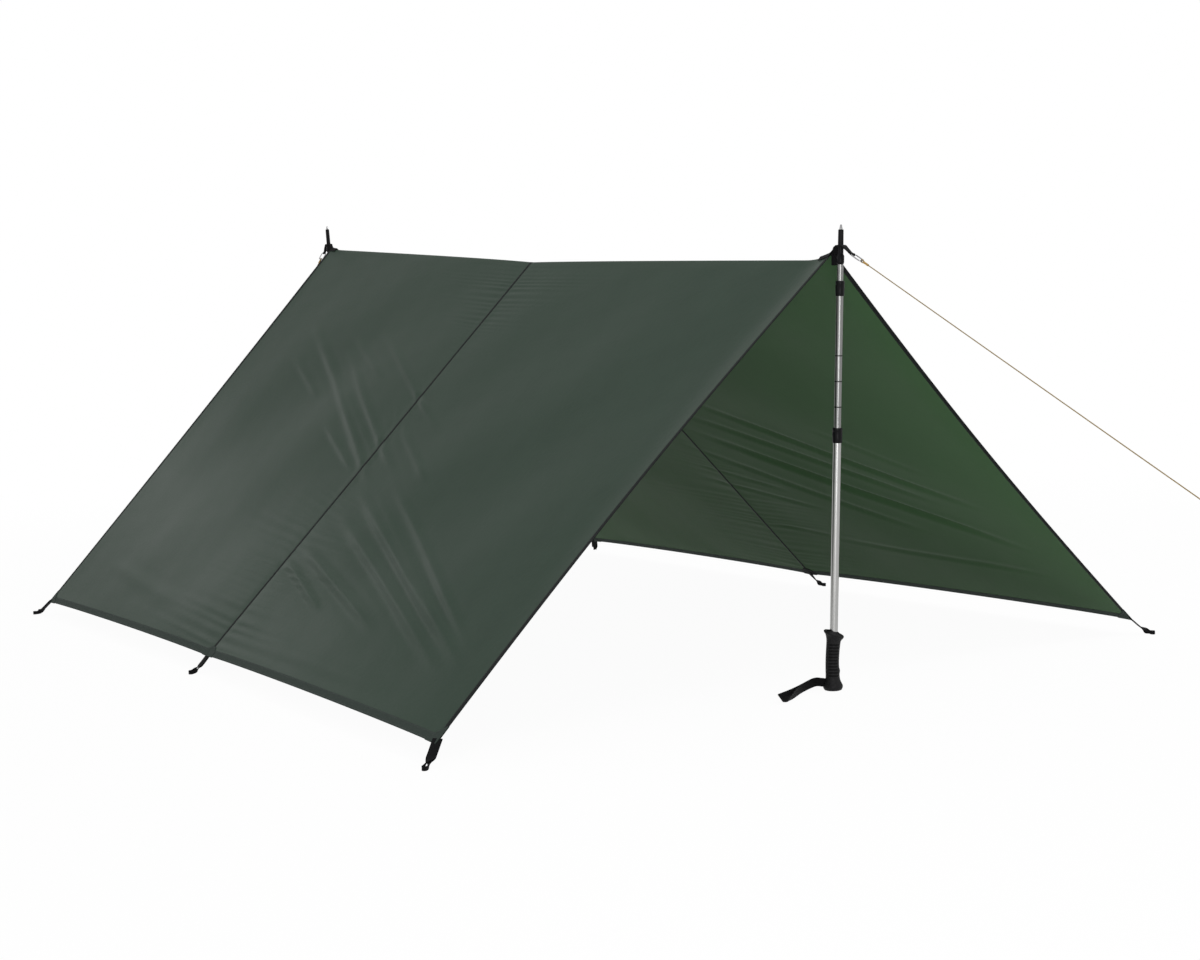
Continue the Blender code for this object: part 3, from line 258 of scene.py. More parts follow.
def through_points(points, count):
    """Points at even steps of a Catmull-Rom curve through given points."""
    route = np.array([tuple(point) for point in points], float)
    route = np.vstack([2 * route[0] - route[1], route, 2 * route[-1] - route[-2]])
    at = np.linspace(0, len(route) - 3, count)
    k = np.minimum(at.astype(int), len(route) - 4)
    t = (at - k)[:, None]
    a, b, c, d = route[k], route[k + 1], route[k + 2], route[k + 3]
    return 0.5 * (
        2 * b + (c - a) * t + (2 * a - 5 * b + 4 * c - d) * t**2 + (3 * b - a - 3 * c + d) * t**3
    )


def unit(vectors):
    """Vectors of length 1 along the given ones."""
    return vectors / np.linalg.norm(vectors, axis=-1, keepdims=True)


def full_turn(count):
    """Even angles once round, the last one short of the first."""
    return np.linspace(0, 2 * math.pi, count, endpoint=False)


def carried_frames(points):
    """Two directions square to a line and to each other at each point, carried along untwisted."""
    tangents = unit(np.gradient(points, axis=0))
    side = np.array([0.0, 1.0, 0.0])
    sides = []
    for tangent in tangents:
        side = side - tangent * (side @ tangent)
        side /= np.linalg.norm(side)
        sides.append(side)
    return np.array(sides), np.cross(tangents, sides)


def shade_piece(name, mesh, crease):
    """Turn a closed mesh's faces outward, shade it smooth up to a crease, and add it."""
    bm = bmesh.new()
    bm.from_mesh(mesh)
    bmesh.ops.recalc_face_normals(bm, faces=bm.faces)
    bm.to_mesh(mesh)
    bm.free()
    mesh.shade_smooth()
    mesh.set_sharp_from_angle(angle=math.radians(crease))
    return add_to_scene(name, mesh)


def skin(name, rings, finish, closed=False, crease=40.0, marks=None):
    """Skin a row of closed sections into one piece, its UVs in metres across and along."""
    rings = np.asarray(rings, float)
    rows, count = rings.shape[:2]
    wrapped = np.concatenate([rings, rings[:, :1]], axis=1)
    steps = np.linalg.norm(np.diff(wrapped, axis=1), axis=2)
    across = np.concatenate([np.zeros((rows, 1)), np.cumsum(steps, axis=1)], axis=1)
    middle = rings.mean(axis=1)
    if closed:
        middle = np.vstack([middle, middle[:1]])
    along = np.concatenate([[0.0], np.cumsum(np.linalg.norm(np.diff(middle, axis=0), axis=1))])
    faces, uvs = [], []
    for i in range(rows if closed else rows - 1):
        n = (i + 1) % rows
        for k in range(count):
            m = (k + 1) % count
            faces.append((i * count + k, i * count + m, n * count + m, n * count + k))
            uvs += [(across[i, k], along[i]), (across[i, k + 1], along[i])]
            uvs += [(across[n, k + 1], along[i + 1]), (across[n, k], along[i + 1])]
    if not closed:
        faces.append(tuple(range(count)))
        faces.append(tuple(range((rows - 1) * count, rows * count)))
        uvs += [(across[0, k], 0.0) for k in range(count)]
        uvs += [(across[-1, k], along[-1]) for k in range(count)]
    mesh = bpy.data.meshes.new(name)
    mesh.from_pydata(rings.reshape(-1, 3).tolist(), [], faces)
    mesh.uv_layers.new(name="metres").data.foreach_set("uv", np.array(uvs, np.float32).ravel())
    for key, values in (marks or {}).items():
        stored_values = mesh.attributes.new(key, "FLOAT", "POINT").data
        stored_values.foreach_set("value", np.asarray(values, np.float32).ravel())
    mesh.materials.append(finish)
    return shade_piece(name, mesh, crease)


def fasten(piece, body, slot, *nodes):
    """Ride on a body and stand for the frame's plainer nodes; the slot is not used."""
    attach(piece, body)
    if nodes:
        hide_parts(*nodes)
    return piece


def braided_cord(name, points, finish):
    """Round cord whose surface is the diamond braid of its strands."""
    points = np.asarray(points, float)
    sides, ups = carried_frames(points)
    run = np.concatenate([[0.0], np.cumsum(np.linalg.norm(np.diff(points, axis=0), axis=1))])[:, None]
    turn = full_turn(CORD_SIDES)[None, :]
    wave = 2 * math.pi / BRAID_PITCH * run
    # This crown height also sets the colour: lighter crowns and darker dives, as painted shade.
    strand_crown_and_painted_shade = np.sin(CORD_STRANDS * turn + wave) * np.sin(CORD_STRANDS * turn - wave)
    radius = CORD_DIAMETER / 2 + BRAID_DEPTH * strand_crown_and_painted_shade
    rings = points[:, None] + radius[..., None] * (
        sides[:, None] * np.cos(turn)[..., None] + ups[:, None] * np.sin(turn)[..., None]
    )
    return skin(name, rings, finish, crease=80.0, marks={"strand_crown_and_painted_shade": 0.5 + 0.5 * strand_crown_and_painted_shade})


guy_lines = {}
for end, offsets in ((1, FRONT_LINE), (-1, REAR_LINE)):
    places = [EYELET[end] + Vector(offset) for offset in offsets]
    length = sum((b - a).length for a, b in zip(places, places[1:]))
    line = braided_cord(
        f"{ENDS[end]}_line", through_points(places, int(length / CORD_STEP)), GOLD_CORD
    )
    fasten(line, "canopy", "cord", f"{ENDS[end]}_guy_line")
    guy_lines[end] = (line, places, length)


# Tarp cloth: coated polyester taffeta in two panels, front and rear, each one sheet from hem
# to hem over the ridge.  Outside it is grey green.  Inside it is painted brighter and greener,
# a painted glow that stands in for the light coming through the cloth.  Pulled at the corners,
# it takes long folds from the rear ridge to the front corners.

SEAM_X = 0.005
SEAM_RIDGE_Z = 1.0335
SEAM_HEM_Y = 1.017
APEX_X = {1: 1.262, -1: -1.250}
APEX_Z = {1: 0.9857, -1: 1.1283}
RIDGE_BOW = {1: 1.10, -1: 0.93}
APEX_LIFT = {1: 0.017, -1: 0.004}
APEX_LIFT_RUN = 0.090
CORNER_X = {1: 1.240, -1: -1.225}
CORNER_Y = {1: 1.050, -1: 1.027}
GABLE_HOLLOW = {1: 0.028, -1: 0.010}
HEM_Z = 0.040
HEM_LIFT = 0.007
CLOTH_BELLY = 0.008
BROAD_FOLD = 0.004
BROAD_FOLD_TURNS = {(1, -1): (1.4, 1.7), (1, 1): (1.2, -2.1), (-1, -1): (-1.6, 1.5), (-1, 1): (1.3, 1.8)}
RIDGE_ROUND = 0.004
RIDGE_SLOPE = 0.95
CLOTH_T = 0.0006
SEAM_GAP = 0.0008
NORMAL_STEP = 0.0008
SLOPE_FLAT = 1.42
WEAVE = 300.0
COAT_UNEVEN = 0.06
OUTER_DARK = (0.0245, 0.0420, 0.0295)
OUTER_LIGHT = (0.0325, 0.0538, 0.0382)
# Inner tones are painted brighter and greener than the outer ones: a painted glow for the light coming
# through the cloth.
INNER_PAINTED_GLOW_DARK = (0.046, 0.098, 0.0425)
INNER_PAINTED_GLOW_LIGHT = (0.0575, 0.118, 0.054)
SIDES = {-1: "near", 1: "far"}

# Folds of each slope: start and end as distance from the seam and below the ridge, height
# of the crown, and half width.
NEAR_FOLDS = [
    (-1.02, 0.29, 0.16, 0.85, 0.0054, 0.020),
    (-0.93, 0.45, -0.56, 0.59, 0.0026, 0.015),
    (-0.56, 0.49, 0.02, 0.74, 0.0035, 0.013),
    (-0.68, 0.33, -0.25, 0.49, 0.0026, 0.015),
    (-0.66, 0.38, 0.24, 0.81, 0.0038, 0.016),
    (-0.52, 0.30, 0.26, 0.64, 0.0035, 0.014),
    (-0.42, 0.66, -0.02, 0.80, 0.0032, 0.013),
    (0.00, 0.62, 0.40, 0.80, 0.0032, 0.014),
    (0.02, 0.83, 1.16, 1.25, 0.0064, 0.020),
    (0.12, 0.83, 1.16, 1.245, 0.0042, 0.013),
    (0.17, 0.79, 1.14, 1.20, 0.0042, 0.015),
    (0.02, 0.91, 1.12, 1.28, 0.0054, 0.021),
    (0.00, 1.04, 0.72, 1.23, 0.0048, 0.019),
    (-0.04, 1.09, 0.40, 1.22, 0.0038, 0.014),
    (0.15, 1.335, 1.05, 1.345, 0.0014, 0.028),
    (-1.15, 1.30, -0.25, 1.335, 0.0010, 0.030),
]
FAR_FOLDS = [
    (-0.90, 0.36, -0.02, 0.70, 0.0044, 0.020),
    (-0.60, 0.30, 0.10, 0.58, 0.0031, 0.015),
    (0.10, 0.55, 1.10, 0.98, 0.0054, 0.015),
    (0.02, 0.62, 0.95, 0.97, 0.0044, 0.014),
    (0.00, 0.70, 1.14, 1.15, 0.0071, 0.017),
    (-0.10, 0.78, 0.80, 1.12, 0.0034, 0.014),
    (-0.18, 0.95, 0.42, 1.05, 0.0027, 0.011),
    (-0.10, 0.89, 0.30, 0.98, 0.0024, 0.010),
    (0.60, 0.64, 0.98, 0.83, 0.0020, 0.011),
    (0.20, 1.19, 1.12, 1.25, 0.0024, 0.014),
    (0.02, 1.16, 0.34, 1.19, 0.0020, 0.010),
]
FOLDS = {-1: NEAR_FOLDS, 1: FAR_FOLDS}


def smooth(share):
    """A share from 0 to 1, eased at both ends."""
    share = np.clip(share, 0.0, 1.0)
    return share * share * (3 - 2 * share)


def slope_run(end):
    """Length of a panel along the ridge."""
    return abs(APEX_X[end] - SEAM_X)


def ridge_height(end, u):
    """Height of the sagging ridge, u from the seam to the gable edge, with a lift at the webbing."""
    lift = np.maximum(0.0, 1 - (1 - u) * slope_run(end) / APEX_LIFT_RUN)
    rise = APEX_Z[end] - SEAM_RIDGE_Z
    return SEAM_RIDGE_Z + rise * np.clip(u, 0.0, None) ** RIDGE_BOW[end] + APEX_LIFT[end] * lift**2


def drawn_folds(x, s, side):
    """Long folds that the pull of the corners draws, each a crown between two hollows."""
    height = np.zeros_like(x)
    for x0, s0, x1, s1, rise, half_width in FOLDS[side]:
        length = math.hypot(x1 - x0, s1 - s0)
        way_x, way_s = (x1 - x0) / length, (s1 - s0) / length
        t = ((x - x0) * way_x + (s - s0) * way_s) / length
        d = ((s - s0) * way_x - (x - x0) * way_s) / half_width
        d = d + 0.10 * np.sin(5.0 * t + 40.0 * s0)
        height += rise * smooth(t / 0.35) * smooth((1 - t) / 0.3) * (1 - d * d) * np.exp(-d * d)
    return height


def seam_puckers(x, s, side):
    """Short creases where the seam's thread gathers the cloth, slanted along its middle."""
    slant = 0.44 * np.exp(-(((s - 0.60) / 0.20) ** 2)) + 0.08 * np.exp(-(((s - 0.92) / 0.10) ** 2))
    q = s - slant * x
    spacing = 0.0165 + 0.0075 * smooth((s - 0.2) / 0.7)
    wave = np.sin(2 * math.pi * (q / spacing + 0.42 * np.sin(27 * q + side) + 0.22 * np.sin(71 * q)))
    reach = 0.10 + 0.13 * smooth((s - 0.75) / 0.3) + 0.10 * smooth((0.22 - s) / 0.1)
    reach = reach * (1.0 + 0.45 * np.sin(53 * q + 2.0 * side) * np.sin(19 * q))
    depth = 0.00025 + 0.00030 * smooth((0.30 - s) / 0.1) + 0.00055 * smooth((s - 0.80) / 0.2)
    depth = depth * (0.75 + 0.55 * np.sin(37 * q + 3.0 * side) * np.sin(11 * q + 1.0))
    return depth * wave * np.exp(-((np.abs(x) / reach) ** 1.5))


def slack_ripples(x, s, side):
    """Faint broad unevenness of a coated sheet that was folded small in its bag."""
    a = np.sin(7.3 * x + 3.1 * s + side) * np.sin(5.9 * s - 2.3 * x)
    b = np.sin(17.0 * x - 9.0 * s) * np.sin(13.0 * s + 6.0 * x + 2.0 * side)
    c = np.sin(41.0 * x + 23.0 * s + side) * np.sin(37.0 * s - 15.0 * x)
    return 0.0009 * a + 0.00045 * b + 0.00014 * c


def slope_surface(end, side, u, v):
    """Outer face of a slope, u from the seam to the gable edge and v from ridge to hem."""
    u, v = np.broadcast_arrays(np.asarray(u, float), np.asarray(v, float))
    seam_x = SEAM_X + end * SEAM_GAP / 2
    hem_lift = HEM_LIFT * np.sin(math.pi * np.clip(u, 0.0, 1.0)) ** 0.5
    top_x = seam_x + (APEX_X[end] - seam_x) * u
    top_z = ridge_height(end, u)
    low_x = seam_x + (CORNER_X[end] - seam_x) * u
    low_y = side * (SEAM_HEM_Y + (CORNER_Y[end] - SEAM_HEM_Y) * u)
    low_z = HEM_Z + hem_lift
    x = top_x + (low_x - top_x) * v - end * GABLE_HOLLOW[end] * np.sin(math.pi * v) * u**3
    y = low_y * v
    z = top_z + (low_z - top_z) * v
    slope_length = np.hypot(low_y, top_z - low_z)
    s = v * slope_length
    run = end * slope_run(end) * u
    slack = np.sin(math.pi * np.clip(u, 0.0, 1.0)) * np.sin(math.pi * np.clip(v, 0.0, 1.0))
    along, down = BROAD_FOLD_TURNS[end, side]
    out = (BROAD_FOLD * np.sin(2 * math.pi * (along * u + down * v)) - CLOTH_BELLY) * slack
    held = smooth(s / 0.03) * smooth((slope_length - s) / 0.05) * smooth((1 - u) / 0.06)
    held = held * (0.25 + 0.75 * smooth(np.abs(run) / 0.035))
    out = out + held * (drawn_folds(run, s, side) + seam_puckers(run, s, side) + slack_ripples(run, s, side))
    y = y + side * (top_z - low_z) / slope_length * out
    z = z + np.abs(low_y) / slope_length * out
    near_ridge = np.clip(RIDGE_ROUND - np.abs(y), 0.0, None)
    z = z - RIDGE_SLOPE * near_ridge**2 / (2 * RIDGE_ROUND)
    return np.stack([x, y, z], axis=-1)


def slope_normals(end, side, u, v):
    """Outward normals of a slope, from the surface a little to each side."""
    u, v = np.broadcast_arrays(np.asarray(u, float), np.asarray(v, float))
    along = slope_surface(end, side, u + NORMAL_STEP, v) - slope_surface(end, side, u - NORMAL_STEP, v)
    above = np.maximum(v - NORMAL_STEP, 0.0)
    down = slope_surface(end, side, u, v + NORMAL_STEP) - slope_surface(end, side, u, above)
    normals = unit(np.cross(along, down)) * end * side
    on_ridge = (v < 1e-6)[..., None]
    return np.where(on_ridge, unit(normals * (1.0, 0.0, 1.0)), normals)


def graded(*stretches):
    """Lines from 0 to 1: each stretch is (up to, number of steps)."""
    lines = [0.0]
    for limit, steps in stretches:
        lines += list(np.linspace(lines[-1], limit, steps + 1)[1:])
    return np.array(lines)


PANEL_COLUMNS = graded((0.050, 10), (0.950, 66), (1.0, 6))
SLOPE_ROWS = graded((0.0030, 4), (0.010, 2), (0.21, 78), (0.985, 190), (1.0, 4))


def own_uv(tree):
    """The piece's own UV map, in metres over its surface."""
    return shader_step(tree, "ShaderNodeUVMap", {"uv_map": "metres"}).outputs[0]


def bands(tree, uv, way, scale, distortion=0.0, detail=2.0):
    """Ribs or threads: even bands that follow each other along X or Y of the UV map."""
    inputs = {"Vector": uv, "Scale": scale, "Distortion": distortion, "Detail": detail}
    settings = {"wave_type": "BANDS", "bands_direction": way}
    return shader_step(tree, "ShaderNodeTexWave", settings, inputs).outputs["Fac"]


def cloth_finish(name, dark, light, roughness, shine):
    """Plain weave under a thin coat: a fine weave, mottled dye and a soft uneven shine."""
    made, tree, shader = new_finish(name, roughness, specular=shine)
    uv = own_uv(tree)
    mottle = noise(tree, uv, 9.0, 5.0, 0.6)
    dye(tree, shader, mottle, dark, light)
    uneven = spread(tree, mottle, roughness - COAT_UNEVEN, roughness + COAT_UNEVEN)
    tree.links.new(uneven, shader.inputs["Roughness"])
    weave = math_step(tree, "MULTIPLY", bands(tree, uv, "X", WEAVE), bands(tree, uv, "Y", WEAVE))
    crumple = relief(tree, shader, noise(tree, uv, 60.0, 6.0, 0.55), 0.5, 0.0006)
    relief(tree, shader, weave, 0.25, 0.0001, crumple)
    return made


OUTER_CLOTH = cloth_finish("grey_green_coat", OUTER_DARK, OUTER_LIGHT, 0.33, 0.036)
# The inner coat's colour carries a painted glow for the light through the cloth.
INNER_CLOTH_PAINTED_GLOW = cloth_finish("inner_coat_painted_glow", INNER_PAINTED_GLOW_DARK, INNER_PAINTED_GLOW_LIGHT, 0.45, 0.033)


def cut_panel(name, end):
    """One sheet from the near hem over the ridge to the far hem, with both of its faces."""
    outer, inner, flat = [], [], []
    for side, rows in ((-1, SLOPE_ROWS[::-1]), (1, SLOPE_ROWS[1:])):
        u, v = np.meshgrid(PANEL_COLUMNS, rows, indexing="ij")
        points = slope_surface(end, side, u, v)
        outer.append(points)
        inner.append(points - slope_normals(end, side, u, v) * CLOTH_T)
        flat.append(np.stack([u * slope_run(end) * end, v * side * SLOPE_FLAT], axis=-1))
    outer, inner, flat = (np.concatenate(parts, axis=1) for parts in (outer, inner, flat))
    columns, count = outer.shape[:2]
    total = columns * count
    index = np.arange(total).reshape(columns, count)
    a, b = index[:-1, :-1].ravel(), index[:-1, 1:].ravel()
    c, d = index[1:, 1:].ravel(), index[1:, :-1].ravel()
    top = np.stack([a, b, c, d], axis=1)
    under = np.stack([a, d, c, b], axis=1) + total
    if end > 0:
        top, under = top[:, ::-1], under[:, ::-1]
    rim = np.concatenate([index[0, :], index[1:, -1], index[-1, -2::-1], index[-2:0:-1, 0]])
    following = np.roll(rim, -1)
    edge = np.stack([rim, following, following + total, rim + total], axis=1)
    faces = np.concatenate([top, under, edge])
    mesh = bpy.data.meshes.new(name)
    both = np.concatenate([outer.reshape(-1, 3), inner.reshape(-1, 3)])
    mesh.from_pydata(both.tolist(), [], faces.tolist())
    flat = np.tile(flat.reshape(-1, 2), (2, 1))
    layer = mesh.uv_layers.new(name="metres")
    layer.data.foreach_set("uv", flat[faces.ravel()].astype(np.float32).ravel())
    mesh.materials.append(OUTER_CLOTH)
    mesh.materials.append(INNER_CLOTH_PAINTED_GLOW)
    which = np.repeat([0, 1, 0], [len(top), len(under), len(edge)])
    mesh.polygons.foreach_set("material_index", which)
    return shade_piece(name, mesh, 60.0)


panels = {}
for end, end_name in ENDS.items():
    panels[end] = cut_panel(f"{end_name}_cloth", end)
    fasten(panels[end], "canopy", "cloth", f"{end_name}_near_panel", f"{end_name}_far_panel")


# Stitching: dark grey thread in the felled seam, hems, bindings and patches, about six
# stitches to the inch.  Each stitch is a short bead of thread that lies on the tape.

STITCH_PITCH = 0.0045
STITCH_LENGTH = 0.0034
THREAD = 0.0007
THREAD_GREY = (0.016, 0.019, 0.018)
THREAD_DARK = (0.0096, 0.0114, 0.0108)


def thread_finish():
    """Dull spun thread, a little darker between its plies."""
    made, tree, shader = new_finish("grey_thread", 0.60, specular=0.35, sheen=0.2)
    dye(tree, shader, noise(tree, own_place(tree), 2600.0, 2.0), THREAD_DARK, THREAD_GREY)
    return made


GREY_THREAD = thread_finish()


def stitch_tree():
    """Geometry nodes: beads of thread at even steps along the lines of a mesh."""
    tree = bpy.data.node_groups.new("stitch_row", "GeometryNodeTree")
    sockets = {}
    kinds = {
        "Geometry": "Geometry", "Pitch": "Float", "Length": "Float", "Thread": "Float",
        "Finish": "Material",
    }
    for label, kind in kinds.items():
        socket = tree.interface.new_socket(label, in_out="INPUT", socket_type=f"NodeSocket{kind}")
        sockets[label] = socket.identifier
    tree.interface.new_socket("Geometry", in_out="OUTPUT", socket_type="NodeSocketGeometry")

    def step(kind, inputs=None, settings=None):
        return shader_step(tree, kind, settings, inputs).outputs[0]

    ask = tree.nodes.new("NodeGroupInput").outputs
    line = step("GeometryNodeMeshToCurve", {"Mesh": ask["Geometry"]})
    even = step("GeometryNodeResampleCurve", {"Curve": line, "Length": ask["Pitch"]}, {"mode": "LENGTH"})
    bead = step("GeometryNodeMeshIcoSphere", {"Radius": 0.5, "Subdivisions": 1})
    size = step("ShaderNodeCombineXYZ", {"X": ask["Length"], "Y": ask["Thread"], "Z": ask["Thread"]})
    shaped = step("GeometryNodeTransform", {"Geometry": bead, "Scale": size})
    way = step("GeometryNodeInputTangent")
    turned = step("FunctionNodeAlignRotationToVector", {"Vector": way}, {"axis": "X"})
    rows = step("GeometryNodeInstanceOnPoints", {"Points": even, "Instance": shaped, "Rotation": turned})
    real = step("GeometryNodeRealizeInstances", {"Geometry": rows})
    dyed = step("GeometryNodeSetMaterial", {"Geometry": real, "Material": ask["Finish"]})
    tree.links.new(dyed, tree.nodes.new("NodeGroupOutput").inputs[0])
    return tree, sockets


STITCH_TREE, STITCH_SOCKETS = stitch_tree()


def plain_mesh(piece, name):
    """A piece's evaluated shape as a plain mesh object, in place of the piece."""
    shape = bpy.data.meshes.new_from_object(piece.evaluated_get(bpy.context.evaluated_depsgraph_get()))
    shape.name = name
    bpy.data.objects.remove(piece)
    return add_to_scene(name, shape)


def stitch(name, lines, pitch=STITCH_PITCH, length=STITCH_LENGTH):
    """Rows of stitches along lines of points, as one piece of the canopy."""
    verts, edges = [], []
    for line in lines:
        first = len(verts)
        verts += [tuple(point) for point in np.asarray(line, float)]
        edges += [(k, k + 1) for k in range(first, len(verts) - 1)]
    mesh = bpy.data.meshes.new(name)
    mesh.from_pydata(verts, edges, [])
    rows = add_to_scene(f"{name}_rows", mesh)
    sewing = rows.modifiers.new("sewing", "NODES")
    sewing.node_group = STITCH_TREE
    values = {"Pitch": pitch, "Length": length, "Thread": THREAD, "Finish": GREY_THREAD}
    for label, value in values.items():
        sewing[STITCH_SOCKETS[label]] = value
    made = plain_mesh(rows, name)
    made.data.shade_smooth()
    return fasten(made, "canopy", "tape")


# Centre seam: front and rear panels felled together and taped over in black, from hem to hem
# across the ridge.  The strip stands a little proud and is sunk along its two rows of stitches.

TAPE_RISE = 0.00045
SEAM_TAPE_WIDTH = 0.0085
ROW_DIP = 0.00012
SLATE_DARK = (0.026, 0.036, 0.031)
SLATE = (0.035, 0.047, 0.040)
BLACK_TAPE_DARK = (0.006, 0.007, 0.007)
BLACK_TAPE_LIGHT = (0.014, 0.016, 0.016)


def tape_finish(name, dark, light):
    """Woven tape: ribs across its length, dyed a little unevenly."""
    made, tree, shader = new_finish(name, 0.72, specular=0.08)
    uv = own_uv(tree)
    dye(tree, shader, noise(tree, uv, 90.0, 4.0), dark, light)
    relief(tree, shader, bands(tree, uv, "Y", 330.0, 0.4, 1.0), 0.45, 0.00012)
    return made


SLATE_TAPE = tape_finish("slate_tape", SLATE_DARK, SLATE)
BLACK_TAPE = tape_finish("black_tape", BLACK_TAPE_DARK, BLACK_TAPE_LIGHT)


def slope_length(end, side, u):
    """Straight length of a slope, from the ridge to the hem."""
    return np.linalg.norm(slope_surface(end, side, u, 1.0) - slope_surface(end, side, u, 0.0), axis=-1)


def both_faces(end, side, u, v, rises):
    """Points a small rise off the cloth's outer face, and as far off its inner face."""
    points = slope_surface(end, side, u, v)
    normals = slope_normals(end, side, u, v)
    rises = np.asarray(rises)[..., None]
    return points + normals * rises, points - normals * (rises + CLOTH_T)


def over_ridge(section, steps=330):
    """Sections from the near hem over the ridge to the far hem, from those of each slope."""
    down = np.concatenate([[0.0, 0.0008, 0.0018, 0.003], np.linspace(0.005, 1.0, steps)])[:, None]
    return np.concatenate([section(-1, down[::-1]), section(1, down[1:])])


def sew_seam(name):
    """The seam's tape on both faces of the cloth, half of it on each panel."""
    spots = np.array([1.0, 0.96, 0.55, 0.0]) * SEAM_TAPE_WIDTH / 2
    rises = np.array([0.55, 0.9, 1.0, 1.15]) * TAPE_RISE - np.array([0, 0, ROW_DIP, 0])

    def section(side, v):
        rear_top, rear_low = both_faces(-1, side, spots / slope_run(-1), v, rises)
        front_top, front_low = both_faces(1, side, spots / slope_run(1), v, rises)
        return np.concatenate([rear_top, front_top[:, 2::-1], front_low[:, :3], rear_low[:, ::-1]], axis=1)

    rings = over_ridge(section)
    fasten(skin(name, rings, BLACK_TAPE, crease=50.0), "canopy", "tape", "centre_seam")
    stitch(f"{name}_stitches", [rings[:, k] for k in (2, 4, 9, 11)])


sew_seam("seam")


# Gable bindings: narrow black tape folded over each gable edge, from hem to hem across the
# ridge, held by one row of stitches.  Hems: wider slate tape folded round each ground edge,
# held by two rows.

BINDING_WIDTH = 0.012
HEM_WIDTH = 0.020
HEM_STATIONS = 420


def folded_tape(end, side, widths, rises, place):
    """Sections of a tape folded round an edge, from its outer border round to the inner one.

    place turns a distance in from the edge into u and v."""
    upper, lower = both_faces(end, side, *place(np.array(widths)), rises)
    out = unit(slope_surface(end, side, *place(0.0)) - slope_surface(end, side, *place(0.004)))
    if out.ndim == 2:
        out = out[:, None]
    top, low = upper[:, -1:], lower[:, -1:]
    proud = rises[-1]
    turn = [top + out * proud * 0.7, (top + low) / 2 + out * proud * 1.15, low + out * proud * 0.7]
    return np.concatenate([upper, *turn, lower[:, ::-1]], axis=1)


def up_from_hem(end, side, u):
    """For folded_tape: distances in from the hem, at one or more distances u from the seam."""
    length = slope_length(end, side, u)
    return lambda inward: (u, 1 - inward / length)


def bind_gable(name, end):
    """Binding of one gable edge, and the lines of its stitches on both faces."""
    widths = np.array([1.0, 0.95, 0.80, 0.45, 0.0]) * BINDING_WIDTH
    rises = np.array([0.5, 1.0, 1.0, 1.1, 0.9]) * TAPE_RISE - np.array([0, 0, ROW_DIP, 0, 0])

    def section(side, v):
        return folded_tape(end, side, widths, rises, lambda inward: (1 - inward / slope_run(end), v))

    rings = over_ridge(section)
    fasten(skin(name, rings, BLACK_TAPE, crease=50.0), "canopy", "tape", f"{ENDS[end]}_gable_binding")
    return [rings[:, 2], rings[:, -3]]


def sew_hem(name, side):
    """Tape of one hem, and the lines of its stitches on both faces."""
    widths = np.array([1.0, 0.97, 0.86, 0.5, 0.16, 0.0]) * HEM_WIDTH
    rises = np.array([0.5, 1.0, 1.0, 1.35, 1.0, 1.0]) * TAPE_RISE
    rises -= np.array([0, 0, ROW_DIP, 0, ROW_DIP, 0])
    halves = []
    for end in (-1, 1):
        u = np.linspace(0.0, 1.0, HEM_STATIONS // 2)[:: end, None]
        halves.append(folded_tape(end, side, widths, rises, up_from_hem(end, side, u)))
    rings = np.concatenate([halves[0], halves[1][1:]])
    fasten(skin(name, rings, SLATE_TAPE, crease=50.0), "canopy", "tape", f"{SIDES[side]}_hem_tape")
    return [rings[:, k] for k in (2, 4, -3, -5)]


stitch("binding_stitches", bind_gable("front_binding", 1) + bind_gable("rear_binding", -1))
stitch("hem_stitches", sew_hem("near_hem", -1) + sew_hem("far_hem", 1))


# Patches: tape folded round the hem, wide at the seam's foot and cut to a triangle at each
# ground corner, where the webbing loops pull.  They are slate, but black at the seam's far
# foot, and each has its own stitching.

MID_PATCH_HALF = 0.030
MID_PATCH_DEPTH = 0.030
CORNER_PATCH_REACH = 0.045
PATCH_RISE = 0.0016


def fold_patch(name, side, spots, depths, finish, node):
    """Patch folded round the hem: at each distance from the seam it reaches up by a depth."""
    rings = []
    for spot, depth in zip(spots, depths):
        end = 1 if spot >= 0 else -1
        u = np.array([[min(1.0, abs(spot) / slope_run(end))]])
        widths = np.array([1.0, 0.97, 0.80, 0.45, 0.12, 0.0]) * depth
        rises = np.array([0.45, 0.9, 1.0, 1.0, 1.0, 1.0]) * PATCH_RISE
        rises[2] -= ROW_DIP
        rings.append(folded_tape(end, side, widths, rises, up_from_hem(end, side, u))[0])
    rings = np.array(rings)
    fasten(skin(name, rings, finish, crease=50.0), "canopy", "tape", node)
    return [rings[1:-1, 2], rings[1:-1, -3]]


patch_rows = []
for side, side_name in SIDES.items():
    spots = np.linspace(-MID_PATCH_HALF, MID_PATCH_HALF, 41)
    depths = MID_PATCH_DEPTH * np.clip(1.35 - np.abs(spots) / MID_PATCH_HALF, 0.35, 1.0)
    finish = SLATE_TAPE if side < 0 else BLACK_TAPE
    node = f"{side_name}_mid_patch"
    patch_rows += fold_patch(f"{side_name}_middle_patch", side, spots, depths, finish, node)
    for end, end_name in ENDS.items():
        share = np.linspace(0.0, 1.0, 25)
        spots = end * (slope_run(end) - CORNER_PATCH_REACH * share)
        depths = CORNER_PATCH_REACH * (1 - 0.93 * share)
        name = f"{end_name}_{side_name}"
        patch_rows += fold_patch(f"{name}_corner_patch", side, spots, depths, SLATE_TAPE, f"{name}_patch")
stitch("patch_stitches", patch_rows, pitch=0.0032, length=0.0026)


# Ground loops: black ribbed webbing, doubled, sewn under each corner and under both ends of
# the seam.  Towards its far end each narrows and turns a quarter, to stand on edge for the peg.

